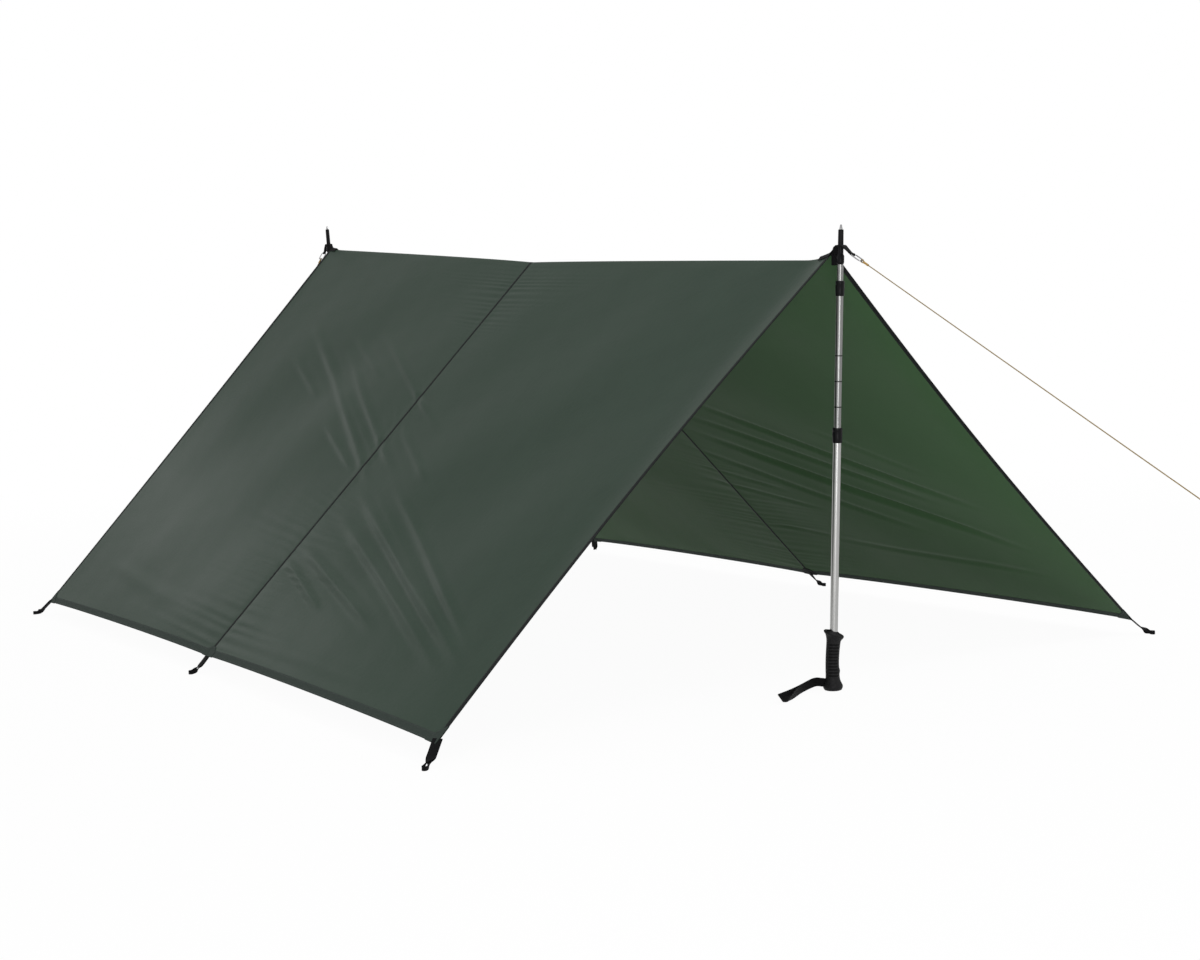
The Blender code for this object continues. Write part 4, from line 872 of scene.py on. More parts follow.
WEBBING_T = 0.0013
LOOP_WIDTH = 0.0215
LOOP_END_WIDTH = 0.0095
LOOP_GAP_RADIUS = 0.0045
LAYER_GAP = 0.0003
LOOP_ROOT = 0.013
CORNER_LOOP_REACH = {1: (0.035, 0.049), -1: (0.050, 0.036)}
MID_LOOP_REACH = {-1: (0.003, 0.053), 1: (0.025, 0.041)}
BLACK_RIB_PAINTED_SHADE = (0.0015, 0.0015, 0.0018)
BLACK = (0.0065, 0.0065, 0.007)


def webbing_painted_shade_finish(name, dark, light):
    """Ribbed polyester webbing: coarse ribs across it, fine lengthwise threads and a dull dye, with painted
    shade darker between the ribs.
    """
    made, tree, shader = new_finish(name, 0.78, specular=0.07, sheen=0.02)
    uv = own_uv(tree)
    ribs = bands(tree, uv, "Y", 260.0, 0.3, 1.0)
    # The colour follows the ribs: painted shade darkens their grooves.
    dye(tree, shader, ribs, dark, light)
    height = math_step(tree, "MULTIPLY_ADD", bands(tree, uv, "X", 420.0), 0.4, ribs)
    relief(tree, shader, height, 0.6, 0.0002)
    return made


BLACK_WEBBING = webbing_painted_shade_finish("black_webbing", BLACK_RIB_PAINTED_SHADE, BLACK)
BAND_OUTLINE = [
    (-1.0, 0.0), (-0.985, 0.30), (-0.93, 0.50), (0.0, 0.50), (0.93, 0.50), (0.985, 0.30),
    (1.0, 0.0), (0.985, -0.30), (0.93, -0.50), (0.0, -0.50), (-0.93, -0.50), (-0.985, -0.30),
]


def band_ring(middle, through, across, half_width, thickness):
    """Section of a flat band with rounded borders."""
    return [
        middle + across * half_width * aside + through * thickness * above for aside, above in BAND_OUTLINE
    ]


def hang_loop(name, corner, normal, outward, reach, node):
    """Hairpin of webbing from inside the patch down to the ground, twisted a quarter turn."""
    tip = Vector((corner.x + reach.x, corner.y + reach.y, LOOP_END_WIDTH / 2))
    level = math.hypot(reach.x, reach.y)
    fall = -(outward.x * normal.x + outward.y * normal.y) / normal.z
    away = Vector((outward.x, outward.y, fall)).normalized()
    root = corner - away * LOOP_ROOT
    end_way = Vector((reach.x, reach.y, 0.0)).normalized()
    end_radius = LOOP_GAP_RADIUS + WEBBING_T / 2
    centre = tip - end_way * (end_radius + WEBBING_T / 2)
    pulls = (root, root + away * (LOOP_ROOT + level * 0.30), centre - end_way * level * 0.35, centre)
    layer = (WEBBING_T + LAYER_GAP) / 2
    legs = []
    for share in np.linspace(0.0, 1.0, 44):
        rest = 1 - share
        place = pulls[0] * rest**3 + pulls[1] * 3 * rest**2 * share
        place += pulls[2] * 3 * rest * share**2 + pulls[3] * share**3
        way = (pulls[1] - pulls[0]) * rest**2 + (pulls[2] - pulls[1]) * 2 * rest * share
        way = (way + (pulls[3] - pulls[2]) * share**2).normalized()
        across = Vector((-way.y, way.x, 0.0)).normalized()
        over = way.cross(across)
        turn = math.pi / 2 * float(smooth((share - 0.48) / 0.46))
        layer_way = over * math.cos(turn) - across * math.sin(turn)
        width_way = across * math.cos(turn) + over * math.sin(turn)
        opening = layer + (end_radius - layer) * float(smooth((share - 0.45) / 0.55))
        half_width = (LOOP_WIDTH + (LOOP_END_WIDTH - LOOP_WIDTH) * float(smooth((share - 0.50) / 0.36))) / 2
        legs.append((place, layer_way, width_way, opening, half_width))

    def layer_ring(leg, side):
        place, through, wide, gap, half = leg
        return band_ring(place + through * gap * side, through * side, wide, half, WEBBING_T)

    rings = [layer_ring(leg, 1) for leg in legs]
    _, last_through, last_wide, _, last_half = legs[-1]
    for angle in np.linspace(math.pi / 2, -math.pi / 2, 15)[1:-1]:
        radial = end_way * math.cos(angle) + last_through * math.sin(angle)
        rings.append(band_ring(centre + radial * end_radius, radial, last_wide, last_half, WEBBING_T))
    rings += [layer_ring(leg, -1) for leg in reversed(legs)]
    return fasten(skin(name, rings, BLACK_WEBBING, crease=60.0), "canopy", "webbing", node)


def hem_corner(end, side, u):
    """Point on the hem in the middle of the cloth, and the way the cloth faces there."""
    normal = slope_normals(end, side, u, 1.0)
    return Vector(slope_surface(end, side, u, 1.0) - normal * CLOTH_T / 2), Vector(normal)


for side, side_name in SIDES.items():
    for end, end_name in ENDS.items():
        ahead, aside = CORNER_LOOP_REACH[end]
        reach = Vector((end * ahead, side * aside, 0.0))
        corner, normal = hem_corner(end, side, 1.0)
        name = f"{end_name}_{side_name}"
        hang_loop(f"{name}_webbing_loop", corner, normal, reach.normalized(), reach, f"{name}_loop")
    ahead, aside = MID_LOOP_REACH[side]
    reach = Vector((ahead, side * aside, 0.0))
    corner, normal = hem_corner(1, side, 0.0)
    outward = Vector((0.0, side, 0.0))
    hang_loop(f"{side_name}_middle_loop", corner, normal, outward, reach, f"mid_{side_name}_loop")


# Ridge ends: webbing sewn over the ridge, folded down at both sides, rises to an eyelet, runs
# on to the wire link and comes back under itself to a short tab.  The pole's tip stands up
# through the eyelet.

POLE_LEAN = {1: math.radians(2.84), -1: math.radians(6.0)}
GUY_SLOPE = {1: math.radians(27.9), -1: math.radians(36.0)}
EYELET_BELOW_TIP = {1: 0.0475, -1: 0.0625}
RIDGE_WEBBING_HALF = 0.0125
RIDGE_RISE_HALF = 0.0150
LINK_WEBBING_HALF = 0.004
LINK_NECK = 0.010
TAB_HALF = 0.0090
TAB_LENGTH = 0.042
TAB_AHEAD = 0.00335
EYELET_BORE = 0.0070
EYELET_HOLE = 0.0075
EYELET_FLANGE_R = 0.0088
EYELET_FLAT = 0.0080
EYELET_FOLD = 1.15
EYELET_FLANGE_T = 0.0007
LINK_REACH = 0.046
LINK_LENGTH = 0.034
LINK_WIDTH = 0.0175
LINK_CORNER_R = 0.0042
LINK_WIRE = 0.003
ACROSS = Vector((0.0, 1.0, 0.0))
POLE_UP = {end: Vector((end * math.sin(lean), 0.0, math.cos(lean))) for end, lean in POLE_LEAN.items()}
POLE_OUT = {end: Vector((end * math.cos(lean), 0.0, -math.sin(lean))) for end, lean in POLE_LEAN.items()}
GUY_WAY = {end: Vector((end * math.cos(fall), 0.0, -math.sin(fall))) for end, fall in GUY_SLOPE.items()}
GUY_UP = {end: Vector((end * math.sin(fall), 0.0, math.cos(fall))) for end, fall in GUY_SLOPE.items()}


def plain_finish(name, dark, light, roughness, grain, depth, metallic=0.0):
    """Moulded or cast surface: faint mottling and a fine grain."""
    made, tree, shader = new_finish(name, roughness, metallic=metallic, specular=0.09)
    place = own_place(tree)
    dye(tree, shader, noise(tree, place, grain / 6, 4.0), dark, light)
    relief(tree, shader, noise(tree, place, grain, 3.0), 0.3, depth)
    return made


BLACK_PLASTIC = plain_finish(
    "black_plastic", (0.003, 0.003, 0.0036), (0.0065, 0.0065, 0.0075), 0.36, 1800.0, 0.00008
)
LINK_STEEL = plain_finish(
    "bright_steel", (0.24, 0.24, 0.245), (0.44, 0.44, 0.445), 0.24, 900.0, 0.00003, 1.0
)


def round_pole(end, angle):
    """The way out from a pole's axis, at an angle round it."""
    return POLE_OUT[end] * math.cos(angle) + ACROSS * math.sin(angle)


def webbing_ring(middle, way, end, half, fold, flat):
    """Section of the ridge webbing, flat in its middle and folded down at both sides."""
    up = np.array([-end * way[2], 0.0, end * way[0]])
    aside = np.linspace(-1.0, 1.0, 21)
    level = np.clip(aside * half, -flat, flat)
    past = aside * half - level
    drop = (np.sqrt(past**2 + 0.002**2) - 0.002) * math.sin(fold)
    line = np.asarray(middle) + np.outer(level + past * math.cos(fold), (0, 1, 0)) - np.outer(drop, up)
    lean = np.tanh(past / 0.002) * fold
    out = np.outer(np.cos(lean), up) + np.outer(np.sin(lean), (0, 1, 0))
    thick = (WEBBING_T / 2 * (1 - 0.55 * np.abs(aside) ** 12))[:, None]
    return np.concatenate([line + out * thick, (line - out * thick)[::-1]])


def lay_ridge_webbing(name, end):
    """One band from the ridge over the eyelet, round the link, back under and down as the tab."""
    eyelet = EYELET[end]
    layer = (WEBBING_T + LAYER_GAP) / 2
    flat = EYELET_FLANGE_R + LAYER_GAP
    run = slope_run(end)
    slope_angle = math.atan2(float(ridge_height(end, 1.0)), CORNER_Y[end])
    over = (TAPE_RISE * 1.3 + WEBBING_T / 2) / math.cos(slope_angle)
    stations = []
    for back in (0.042, 0.034, 0.026, 0.018, 0.010):
        height = float(ridge_height(end, 1 - back / run)) + over
        stations.append((APEX_X[end] - end * back, height, RIDGE_WEBBING_HALF * 1.25, slope_angle, 0.0))
    rise = eyelet - POLE_OUT[end] * flat + POLE_UP[end] * layer
    between = ((stations[-1][0] + rise.x) / 2, (stations[-1][1] + rise.z) / 2 - 0.0004)
    stations.append((*between, RIDGE_RISE_HALF, slope_angle, EYELET_FLAT / 3))
    bar = eyelet + GUY_WAY[end] * LINK_REACH
    neck = bar - GUY_WAY[end] * LINK_NECK
    fall = POLE_OUT[end].angle(neck - eyelet - POLE_OUT[end] * flat)
    beyond = flat + 2 * layer * math.tan(fall / 2)
    turn_r = LINK_WIRE / 2 + LAYER_GAP + WEBBING_T / 2
    neck_rise = GUY_UP[end] * (turn_r + layer) / 2
    upper = [rise, eyelet + POLE_UP[end] * layer, eyelet + POLE_OUT[end] * beyond + POLE_UP[end] * layer]
    stations += [(place.x, place.z, RIDGE_WEBBING_HALF, EYELET_FOLD, EYELET_FLAT) for place in upper]
    stations.append(((neck + neck_rise).x, (neck + neck_rise).z, LINK_WEBBING_HALF, 0.0, 0.0))
    for angle in np.linspace(math.pi / 2, -math.pi / 2, 9):
        place = bar + (GUY_WAY[end] * math.cos(angle) + GUY_UP[end] * math.sin(angle)) * turn_r
        stations.append((place.x, place.z, LINK_WEBBING_HALF, 0.0, 0.0))
    stations.append(((neck - neck_rise).x, (neck - neck_rise).z, LINK_WEBBING_HALF, 0.0, 0.0))
    lower = [eyelet + POLE_OUT[end] * flat, eyelet, eyelet - POLE_OUT[end] * flat]
    lower = [place - POLE_UP[end] * layer for place in lower]
    nested = EYELET_FLAT - WEBBING_T
    stations += [(place.x, place.z, EYELET_FLAT + WEBBING_T, EYELET_FOLD, nested) for place in lower]
    tab_x = APEX_X[end] + end * TAB_AHEAD
    for ahead, down in ((0.0048, 0.0065), (0.0014, 0.0140), (0.0002, 0.0280), (0.0, TAB_LENGTH)):
        stations.append((tab_x + end * ahead, lower[-1].z - down, TAB_HALF, 0.0, 0.0))
    path = through_points(stations, 230)
    middles = np.stack([path[:, 0], np.zeros(len(path)), path[:, 1]], axis=-1)
    ways = unit(np.gradient(middles, axis=0))
    rings = [
        webbing_ring(middle, way, end, half, max(0.0, fold), max(0.0, flat))
        for middle, way, half, fold, flat in zip(middles, ways, *path[:, 2:].T)
    ]
    whole = skin(f"{name}_whole", rings, BLACK_WEBBING, crease=60.0)
    punch_rings = [
        [eyelet + POLE_UP[end] * height + round_pole(end, a) * EYELET_HOLE for a in full_turn(40)]
        for height in (-0.004, 0.004)
    ]
    punch = skin(f"{name}_punch", punch_rings, BLACK_WEBBING)
    hole = whole.modifiers.new("eyelet_hole", "BOOLEAN")
    hole.operation = "DIFFERENCE"
    hole.solver = "EXACT"
    hole.object = punch
    hole.use_self = True
    webbing = plain_mesh(whole, name)
    bpy.data.objects.remove(punch)
    return fasten(webbing, "canopy", "webbing", f"{ENDS[end]}_ridge_webbing")


def press_eyelet(name, end):
    """Rolled black ring pressed through both layers of webbing."""
    inner = LAYER_GAP / 2 + WEBBING_T
    outer = inner + EYELET_FLANGE_T
    soft = EYELET_FLANGE_T / 2
    half = [
        (EYELET_BORE + 0.0004, outer + 0.0002), (EYELET_BORE + 0.0012, outer + 0.0004),
        (EYELET_FLANGE_R - soft, outer), (EYELET_FLANGE_R, outer - soft),
        (EYELET_FLANGE_R - 0.0001, inner), (EYELET_BORE + 0.0008, inner),
    ]
    profile = half + [(radius, -height) for radius, height in half[::-1]]
    profile += [(EYELET_BORE, -outer), (EYELET_BORE, outer)]
    rings = [
        [EYELET[end] + round_pole(end, a) * radius + POLE_UP[end] * height for radius, height in profile]
        for a in full_turn(56)
    ]
    ring = skin(name, rings, BLACK_PLASTIC, closed=True, crease=50.0)
    return fasten(ring, "canopy", "plastic", f"{ENDS[end]}_eyelet")


def bend_link(name, end):
    """Bright wire link with straight ends, lying across the guy line."""
    half_run = (LINK_LENGTH - LINK_WIRE) / 2 - LINK_CORNER_R
    half_bar = (LINK_WIDTH - LINK_WIRE) / 2 - LINK_CORNER_R
    centre = EYELET[end] + GUY_WAY[end] * (LINK_REACH + half_run + LINK_CORNER_R)
    rings = []
    for way, aside, first in ((1, 1, 0), (-1, 1, 1), (-1, -1, 2), (1, -1, 3)):
        bend = centre + GUY_WAY[end] * half_run * way + ACROSS * half_bar * aside
        for step in range(9):
            angle = math.pi / 2 * (first + step / 8)
            radial = GUY_WAY[end] * math.cos(angle) + ACROSS * math.sin(angle)
            rings.append([
                bend + radial * LINK_CORNER_R
                + (radial * math.cos(turn) + GUY_UP[end] * math.sin(turn)) * LINK_WIRE / 2
                for turn in full_turn(20)
            ])
    link = skin(name, rings, LINK_STEEL, closed=True, crease=80.0)
    return fasten(link, "canopy", "steel", f"{ENDS[end]}_link")


for end, end_name in ENDS.items():
    lay_ridge_webbing(f"{end_name}_ridge_band", end)
    press_eyelet(f"{end_name}_pole_eyelet", end)
    bend_link(f"{end_name}_wire_link", end)


# Line ends: at the link the cord is doubled back and bound with fifteen turns of brighter
# twine.  At its far end it is doubled again and tied off with a barrel knot.

WHIPPING_FROM = 0.0055
WHIPPING_LENGTH = 0.018
WHIPPING_TURNS = 15
WHIPPING_CORE_R = 0.0019
TWINE = 0.0012
END_LOOP_LENGTH = 0.036
END_LOOP_R = 0.007
KNOT_R = 0.0038
KNOT_TURNS = 3.6
# The twine is gold, painted darker as painted shade where its strands dive.
BRIGHT_CORD = cord_painted_shade_finish("bright_gold_cord", (0.22, 0.12, 0.025), (0.60, 0.38, 0.095))


def round_strand(name, points, radius, finish, sides):
    """Plain round strand along points, for turns too tight to show a braid, its plies only painted in light
    and shade.
    """
    points = np.asarray(points, float)
    side_ways, ups = carried_frames(points)
    turn = full_turn(sides)
    rings = points[:, None] + radius * (
        side_ways[:, None] * np.cos(turn)[:, None] + ups[:, None] * np.sin(turn)[:, None]
    )
    # The twist mark paints light and shade over plies that the shape lacks.
    twist = np.arange(len(points))[:, None] * 0.9
    return skin(name, rings, finish, crease=80.0, marks={"strand_crown_and_painted_shade": 0.5 + 0.5 * np.cos(turn * 2 + twist)})


def coil(start, way, up, radius, length, turns, ends_in=0.0006):
    """Points of a helix round a line, drawn in a little where it starts and stops."""
    across = way.cross(up)
    at = np.linspace(0.0, 1.0, int(turns * 22))
    reach = radius - ends_in * (1 - smooth(at / 0.05)) - ends_in * (1 - smooth((1 - at) / 0.05))
    angle = 2 * math.pi * turns * at
    return (
        np.array(start) + np.outer(at * length, way)
        + np.outer(reach * np.cos(angle), up) + np.outer(reach * np.sin(angle), across)
    )


def doubled_eye(name, bend_centre, way, up, bend_r, hold_at):
    """Cord bent round a centre, its two legs side by side where they are held."""
    leg = CORD_DIAMETER / 2 + LAYER_GAP / 2
    hold = bend_centre + way * hold_at
    points = [hold + up * leg, bend_centre + way * (hold_at * 0.55 + bend_r * 0.3) + up * (leg + bend_r) / 2]
    for step in range(9):
        angle = math.pi / 2 + math.pi * step / 8
        points.append(bend_centre + (way * math.cos(angle) + up * math.sin(angle)) * bend_r)
    points.append(bend_centre + way * (hold_at * 0.55 + bend_r * 0.3) - up * (leg + bend_r) / 2)
    points.append(hold - up * leg)
    return braided_cord(name, through_points(points, 110), GOLD_CORD)


for end, end_name in ENDS.items():
    line, places, length = guy_lines[end]
    far_bar = EYELET[end] + GUY_WAY[end] * (LINK_REACH + LINK_LENGTH - LINK_WIRE)
    eye_r = (LINK_WIRE + CORD_DIAMETER) / 2 + LAYER_GAP
    eye = doubled_eye(
        f"{end_name}_eye_cord", far_bar, GUY_WAY[end], GUY_UP[end], eye_r, WHIPPING_FROM + 0.004
    )
    fasten(eye, "canopy", "cord", f"{end_name}_line_eye")
    whipping_at = far_bar + GUY_WAY[end] * WHIPPING_FROM
    core = round_strand(
        f"{end_name}_whipping_core",
        [whipping_at + GUY_WAY[end] * WHIPPING_LENGTH * share for share in np.linspace(0.02, 1.0, 12)],
        WHIPPING_CORE_R, GOLD_CORD, 16,
    )
    fasten(core, "canopy", "cord")
    turns = coil(
        whipping_at, GUY_WAY[end], GUY_UP[end], WHIPPING_CORE_R, WHIPPING_LENGTH, WHIPPING_TURNS
    )
    whipping = round_strand(f"{end_name}_whipping", turns, TWINE / 2, BRIGHT_CORD, 8)
    fasten(whipping, "canopy", "cord")
    line_way = (places[-1] - places[-2]).normalized()
    line_up = ACROSS.cross(line_way) * end
    knot_length = KNOT_R * 2.2
    loop_centre = places[-1] + line_way * (LAYER_GAP + knot_length + END_LOOP_LENGTH - END_LOOP_R)
    loop = doubled_eye(
        f"{end_name}_peg_loop", loop_centre, -line_way, line_up, END_LOOP_R,
        END_LOOP_LENGTH - END_LOOP_R + 0.004,
    )
    fasten(loop, "canopy", "cord", f"{end_name}_end_loop")
    knot_at = places[-1] - line_way * 0.0004
    knot = round_strand(
        f"{end_name}_barrel_knot",
        coil(knot_at, line_way, line_up, KNOT_R - CORD_DIAMETER / 2, knot_length, KNOT_TURNS, 0.0008),
        CORD_DIAMETER / 2, GOLD_CORD, 12,
    )
    fasten(knot, "canopy", "cord")
    through_points(places, 120).tolist()


# Trekking poles: each stands on its grip, upside down.  A steel tip sits in a long tapered
# black ferrule whose boss covers the mouth of the thinnest tube.

TIP_LENGTH = 0.011
TIP_R = 0.0023
TIP_FOOT_R = 0.0037
FERRULE_TOP_R = 0.0060
FERRULE_CONE_R = 0.0065
FERRULE_CONE_END = 0.0660
BOSS_R = 0.0085
BOSS_MOUTH_R = 0.0070
FERRULE_END = 0.088
FERRULE_BORE_R = 0.0062
FERRULE_BORE_END = 0.118


def on_pole(end, points):
    """Points in a pole's frame (out, across, distance from the tip) as places in the scene."""
    points = np.asarray(points, float)
    height = EYELET_BELOW_TIP[end] - points[..., 2:]
    ways = points[..., :1] * np.array(POLE_OUT[end]) + points[..., 1:2] * np.array(ACROSS)
    return np.array(EYELET[end]) + ways + height * np.array(POLE_UP[end])


def turn_part(name, end, profile, finish, sides=64, bored=True):
    """Turned part of a pole from (radius, distance from the tip), all round its profile if bored."""
    profile = np.array(profile, float)
    turn = full_turn(sides)[:, None]
    radius = profile[None, :, 0]
    depth = np.broadcast_to(profile[None, :, 1], (sides, len(profile)))
    grid = on_pole(end, np.stack([radius * np.cos(turn), radius * np.sin(turn), depth], axis=-1))
    return skin(name, grid if bored else grid.transpose(1, 0, 2), finish, closed=bored)


def fit_tip(end_name, end):
    """Stepped steel tip, and the tapered ferrule that holds it and covers the tube's mouth."""
    tip = [(0.0008, 0.0), (0.0017, 0.0002), (0.0021, 0.0009), (0.0030, 0.0060), (TIP_FOOT_R, 0.0088)]
    tip += [(TIP_FOOT_R, TIP_LENGTH - 0.0003), (TIP_R, TIP_LENGTH - 0.0001), (TIP_R, 0.0242)]
    steel = turn_part(f"{end_name}_steel_tip", end, tip, LINK_STEEL, 40, bored=False)
    fasten(steel, f"{end_name}_lower_section", "steel", f"{end_name}_pole_tip")
    cone = [(FERRULE_TOP_R - 0.0008, TIP_LENGTH), (FERRULE_TOP_R - 0.0002, TIP_LENGTH + 0.0003)]
    cone += [(FERRULE_TOP_R, TIP_LENGTH + 0.0010)]
    for share in np.linspace(0.08, 0.94, 8):
        at = TIP_LENGTH + share * (FERRULE_CONE_END - TIP_LENGTH)
        cone.append((FERRULE_TOP_R + share * (FERRULE_CONE_R - FERRULE_TOP_R), at))
    cone += [(FERRULE_CONE_R, FERRULE_CONE_END), (BOSS_R - 0.0008, FERRULE_CONE_END + 0.0022)]
    cone += [(BOSS_R, FERRULE_CONE_END + 0.0032), (BOSS_R, FERRULE_END - 0.0040)]
    cone += [(BOSS_R - 0.0004, FERRULE_END - 0.0028), (BOSS_MOUTH_R + 0.0002, FERRULE_END - 0.0004)]
    cone += [(BOSS_MOUTH_R, FERRULE_END), (FERRULE_BORE_R, FERRULE_END), (FERRULE_BORE_R, FERRULE_BORE_END)]
    cone += [(TIP_R + 0.0003, FERRULE_BORE_END), (TIP_R + 0.0003, TIP_LENGTH)]
    ferrule = turn_part(f"{end_name}_ferrule", end, cone, BLACK_PLASTIC)
    fasten(ferrule, f"{end_name}_lower_section", "plastic", f"{end_name}_pole_ferrule")


for end, end_name in ENDS.items():
    fit_tip(end_name, end)


# Tubes: three sizes of drawn aluminium, brushed lengthwise and clear anodised, the widest one
# paler.  Graduation marks are printed on the middle one.  They telescope, and are drawn out
# for pitching.

TUBE_WALL = 0.0007
LOWER_TUBE_R = 0.0070
MIDDLE_TUBE_R = 0.0081
UPPER_TUBE_R = 0.0092
LOWER_TUBE_SPAN = (0.0883, 0.5283)
MIDDLE_TUBE_FROM = {1: 0.1283, -1: 0.27763}
MIDDLE_TUBE_LENGTH = 0.520
UPPER_TUBE_FROM = {1: 0.4593, -1: 0.60863}
UPPER_TUBE_TO = {1: 1.04531, -1: 1.19464}
MARKS_FROM_MIDDLE = (0.163, 0.221, 0.279)
MARK_HEIGHT = 0.0026


def brushed_finish(name, dark, light):
    """Clear anodised tube: long fine scratches along it and bands of slightly different grain."""
    made, tree, shader = new_finish(name, 0.30, metallic=1.0)
    long_grain = {"Vector": own_uv(tree), "Scale": (9.0, 1500.0, 1.0)}
    drawn = shader_step(tree, "ShaderNodeMapping", None, long_grain).outputs[0]
    scratches = noise(tree, drawn, 1.0, 5.0, 0.65)
    dye(tree, shader, scratches, dark, light)
    tree.links.new(spread(tree, scratches, 0.20, 0.42), shader.inputs["Roughness"])
    relief(tree, shader, scratches, 0.20, 0.00004)
    return made


GREY_ALUMINIUM = brushed_finish("grey_aluminium", (0.10, 0.10, 0.099), (0.34, 0.34, 0.334))
PALE_ALUMINIUM = brushed_finish("pale_aluminium", (0.22, 0.22, 0.215), (0.58, 0.58, 0.57))
PRINT_BLACK = plain_finish("printed_mark", (0.008, 0.008, 0.009), (0.016, 0.016, 0.017), 0.5, 700.0, 0.00002)


def draw_tube(end, look, size, radius, first, last, finish):
    """Open tube with softened mouths, on the pole's section of its size."""
    soft = 0.0002
    bore = radius - TUBE_WALL
    profile = [(radius - soft, first), (radius, first + soft)]
    profile += [(radius, at) for at in np.linspace(first + 0.001, last - 0.001, 12)]
    profile += [(radius, last - soft), (radius - soft, last), (bore, last), (bore, first)]
    tube = turn_part(f"{ENDS[end]}_{look}_tube", end, profile, finish)
    fasten(tube, f"{ENDS[end]}_{size}_section", "aluminium", f"{ENDS[end]}_{size}_tube")


for end, end_name in ENDS.items():
    first = MIDDLE_TUBE_FROM[end]
    draw_tube(end, "thin", "lower", LOWER_TUBE_R, *LOWER_TUBE_SPAN, GREY_ALUMINIUM)
    draw_tube(end, "mid", "middle", MIDDLE_TUBE_R, first, first + MIDDLE_TUBE_LENGTH, GREY_ALUMINIUM)
    draw_tube(end, "wide", "upper", UPPER_TUBE_R, UPPER_TUBE_FROM[end], UPPER_TUBE_TO[end], PALE_ALUMINIUM)
    high, low = MIDDLE_TUBE_R + 0.00005, MIDDLE_TUBE_R - 0.0002
    for number, beyond in enumerate(MARKS_FROM_MIDDLE):
        at = first + beyond
        ring = [(high, at), (high, at + MARK_HEIGHT), (low, at + MARK_HEIGHT), (low, at)]
        mark = turn_part(f"{end_name}_mark_{number}", end, ring, PRINT_BLACK, 48)
        fasten(mark, f"{end_name}_middle_section", "plastic")


# Collars and locks: a moulded sleeve covers each tube mouth, its lip guiding the thinner tube.
# The twist locks inside keep the frame's own shapes, in black plastic.

COLLAR_LENGTH = 0.034
COLLAR_LIP = 0.0030
COLLAR_WALL = 0.0018
RUNNING_GAP = 0.0004
MIDDLE_COLLAR_FROM = {1: 0.1250, -1: 0.27433}
UPPER_COLLAR_FROM = {1: 0.4560, -1: 0.60533}


def mould_collar(end, look, size, inner_r, tube_r, first):
    """Sleeve round the mouth of a tube, with a shallow groove and a lip inside."""
    seat = tube_r + LAYER_GAP
    outer = seat + COLLAR_WALL
    lip = inner_r + RUNNING_GAP
    last = first + COLLAR_LENGTH
    profile = [(lip, first), (lip + 0.0006, first - 0.0001), (outer - 0.0009, first)]
    profile += [(outer - 0.0002, first + 0.0004), (outer, first + 0.0011), (outer, first + 0.0080)]
    profile += [(outer - 0.0003, first + 0.0086), (outer - 0.0003, first + 0.0096)]
    profile += [(outer, first + 0.0102), (outer, last - 0.0011), (outer - 0.0003, last - 0.0003)]
    profile += [(outer - 0.0010, last), (seat, last), (seat, first + COLLAR_LIP), (lip, first + COLLAR_LIP)]
    collar = turn_part(f"{ENDS[end]}_{look}_sleeve", end, profile, BLACK_PLASTIC)
    fasten(collar, f"{ENDS[end]}_{size}_section", "plastic", f"{ENDS[end]}_{size}_collar")


for end, end_name in ENDS.items():
    mould_collar(end, "mid", "middle", LOWER_TUBE_R, MIDDLE_TUBE_R, MIDDLE_COLLAR_FROM[end])
    mould_collar(end, "wide", "upper", MIDDLE_TUBE_R, UPPER_TUBE_R, UPPER_COLLAR_FROM[end])
    for part in ("lower_lock_stud", "lower_lock_plug", "middle_lock_stud", "middle_lock_plug"):
        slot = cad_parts[f"{end_name}_{part}"].material_slots[0]
        slot.link = "OBJECT"
        slot.material = BLACK_PLASTIC


# Grips: black rubber moulded over the widest tube, standing on their round heads.  Rows of
# short ribs run down both flanks, and the mouth flares into a slanted lip.

GRIP_FACING = {1: math.radians(55.4347), -1: math.radians(-10.0)}
GRIP_OUTLINE = [
    (0.0030, 0.0212), (0.0080, 0.0228), (0.0130, 0.0222), (0.0210, 0.0182),
    (0.0300, 0.0163), (0.0460, 0.0158), (0.0700, 0.0155), (0.1000, 0.0158),
    (0.1160, 0.0166), (0.1240, 0.0187), (0.1290, 0.0221), (0.1320, 0.0232),
]
GRIP_FOOT = [(0.0130, 0.0), (0.0175, 0.0), (0.0192, 0.0006)]
RIB_FROM = 0.032
RIB_TO = 0.112
RIB_COUNT = 11
RIB_DEPTH = 0.0011
GRIP_BOW = 0.0024
LIP_SLANT = 0.0065
TUBE_BORE = 0.0095
GRIP_MOUTH = [
    (0.0226, 0.1338, 1.0), (0.0204, 0.1350, 0.95), (0.0150, 0.1362, 0.8),
    (0.0118, 0.1380, 0.5), (TUBE_BORE, 0.1390, 0.35), (TUBE_BORE, 0.0180, 0.0),
]
# Tone of the grip's plain parts, between the painted shade of the grooves and the paler ribs.
PLAIN_WEAR_AND_PAINTED_SHADE = 0.7


def rubber_painted_shade_finish():
    """Moulded rubber: dull black, darker in the grooves as painted shade, and a little paler and smoother on
    the ribs, partly wear and partly painted highlight.
    """
    made, tree, shader = new_finish("grip_rubber", 0.55, specular=0.11)
    place = own_place(tree)
    wear_and_painted_shade = stored(tree, "wear_and_painted_shade")
    share = math_step(tree, "MULTIPLY", wear_and_painted_shade, noise(tree, place, 230.0, 4.0))
    dye(tree, shader, share, (0.001, 0.001, 0.0012), (0.028, 0.028, 0.029))
    tree.links.new(spread(tree, wear_and_painted_shade, 0.70, 0.46), shader.inputs["Roughness"])
    relief(tree, shader, noise(tree, place, 1400.0, 3.0), 0.3, 0.00012)
    return made


GRIP_RUBBER = rubber_painted_shade_finish()


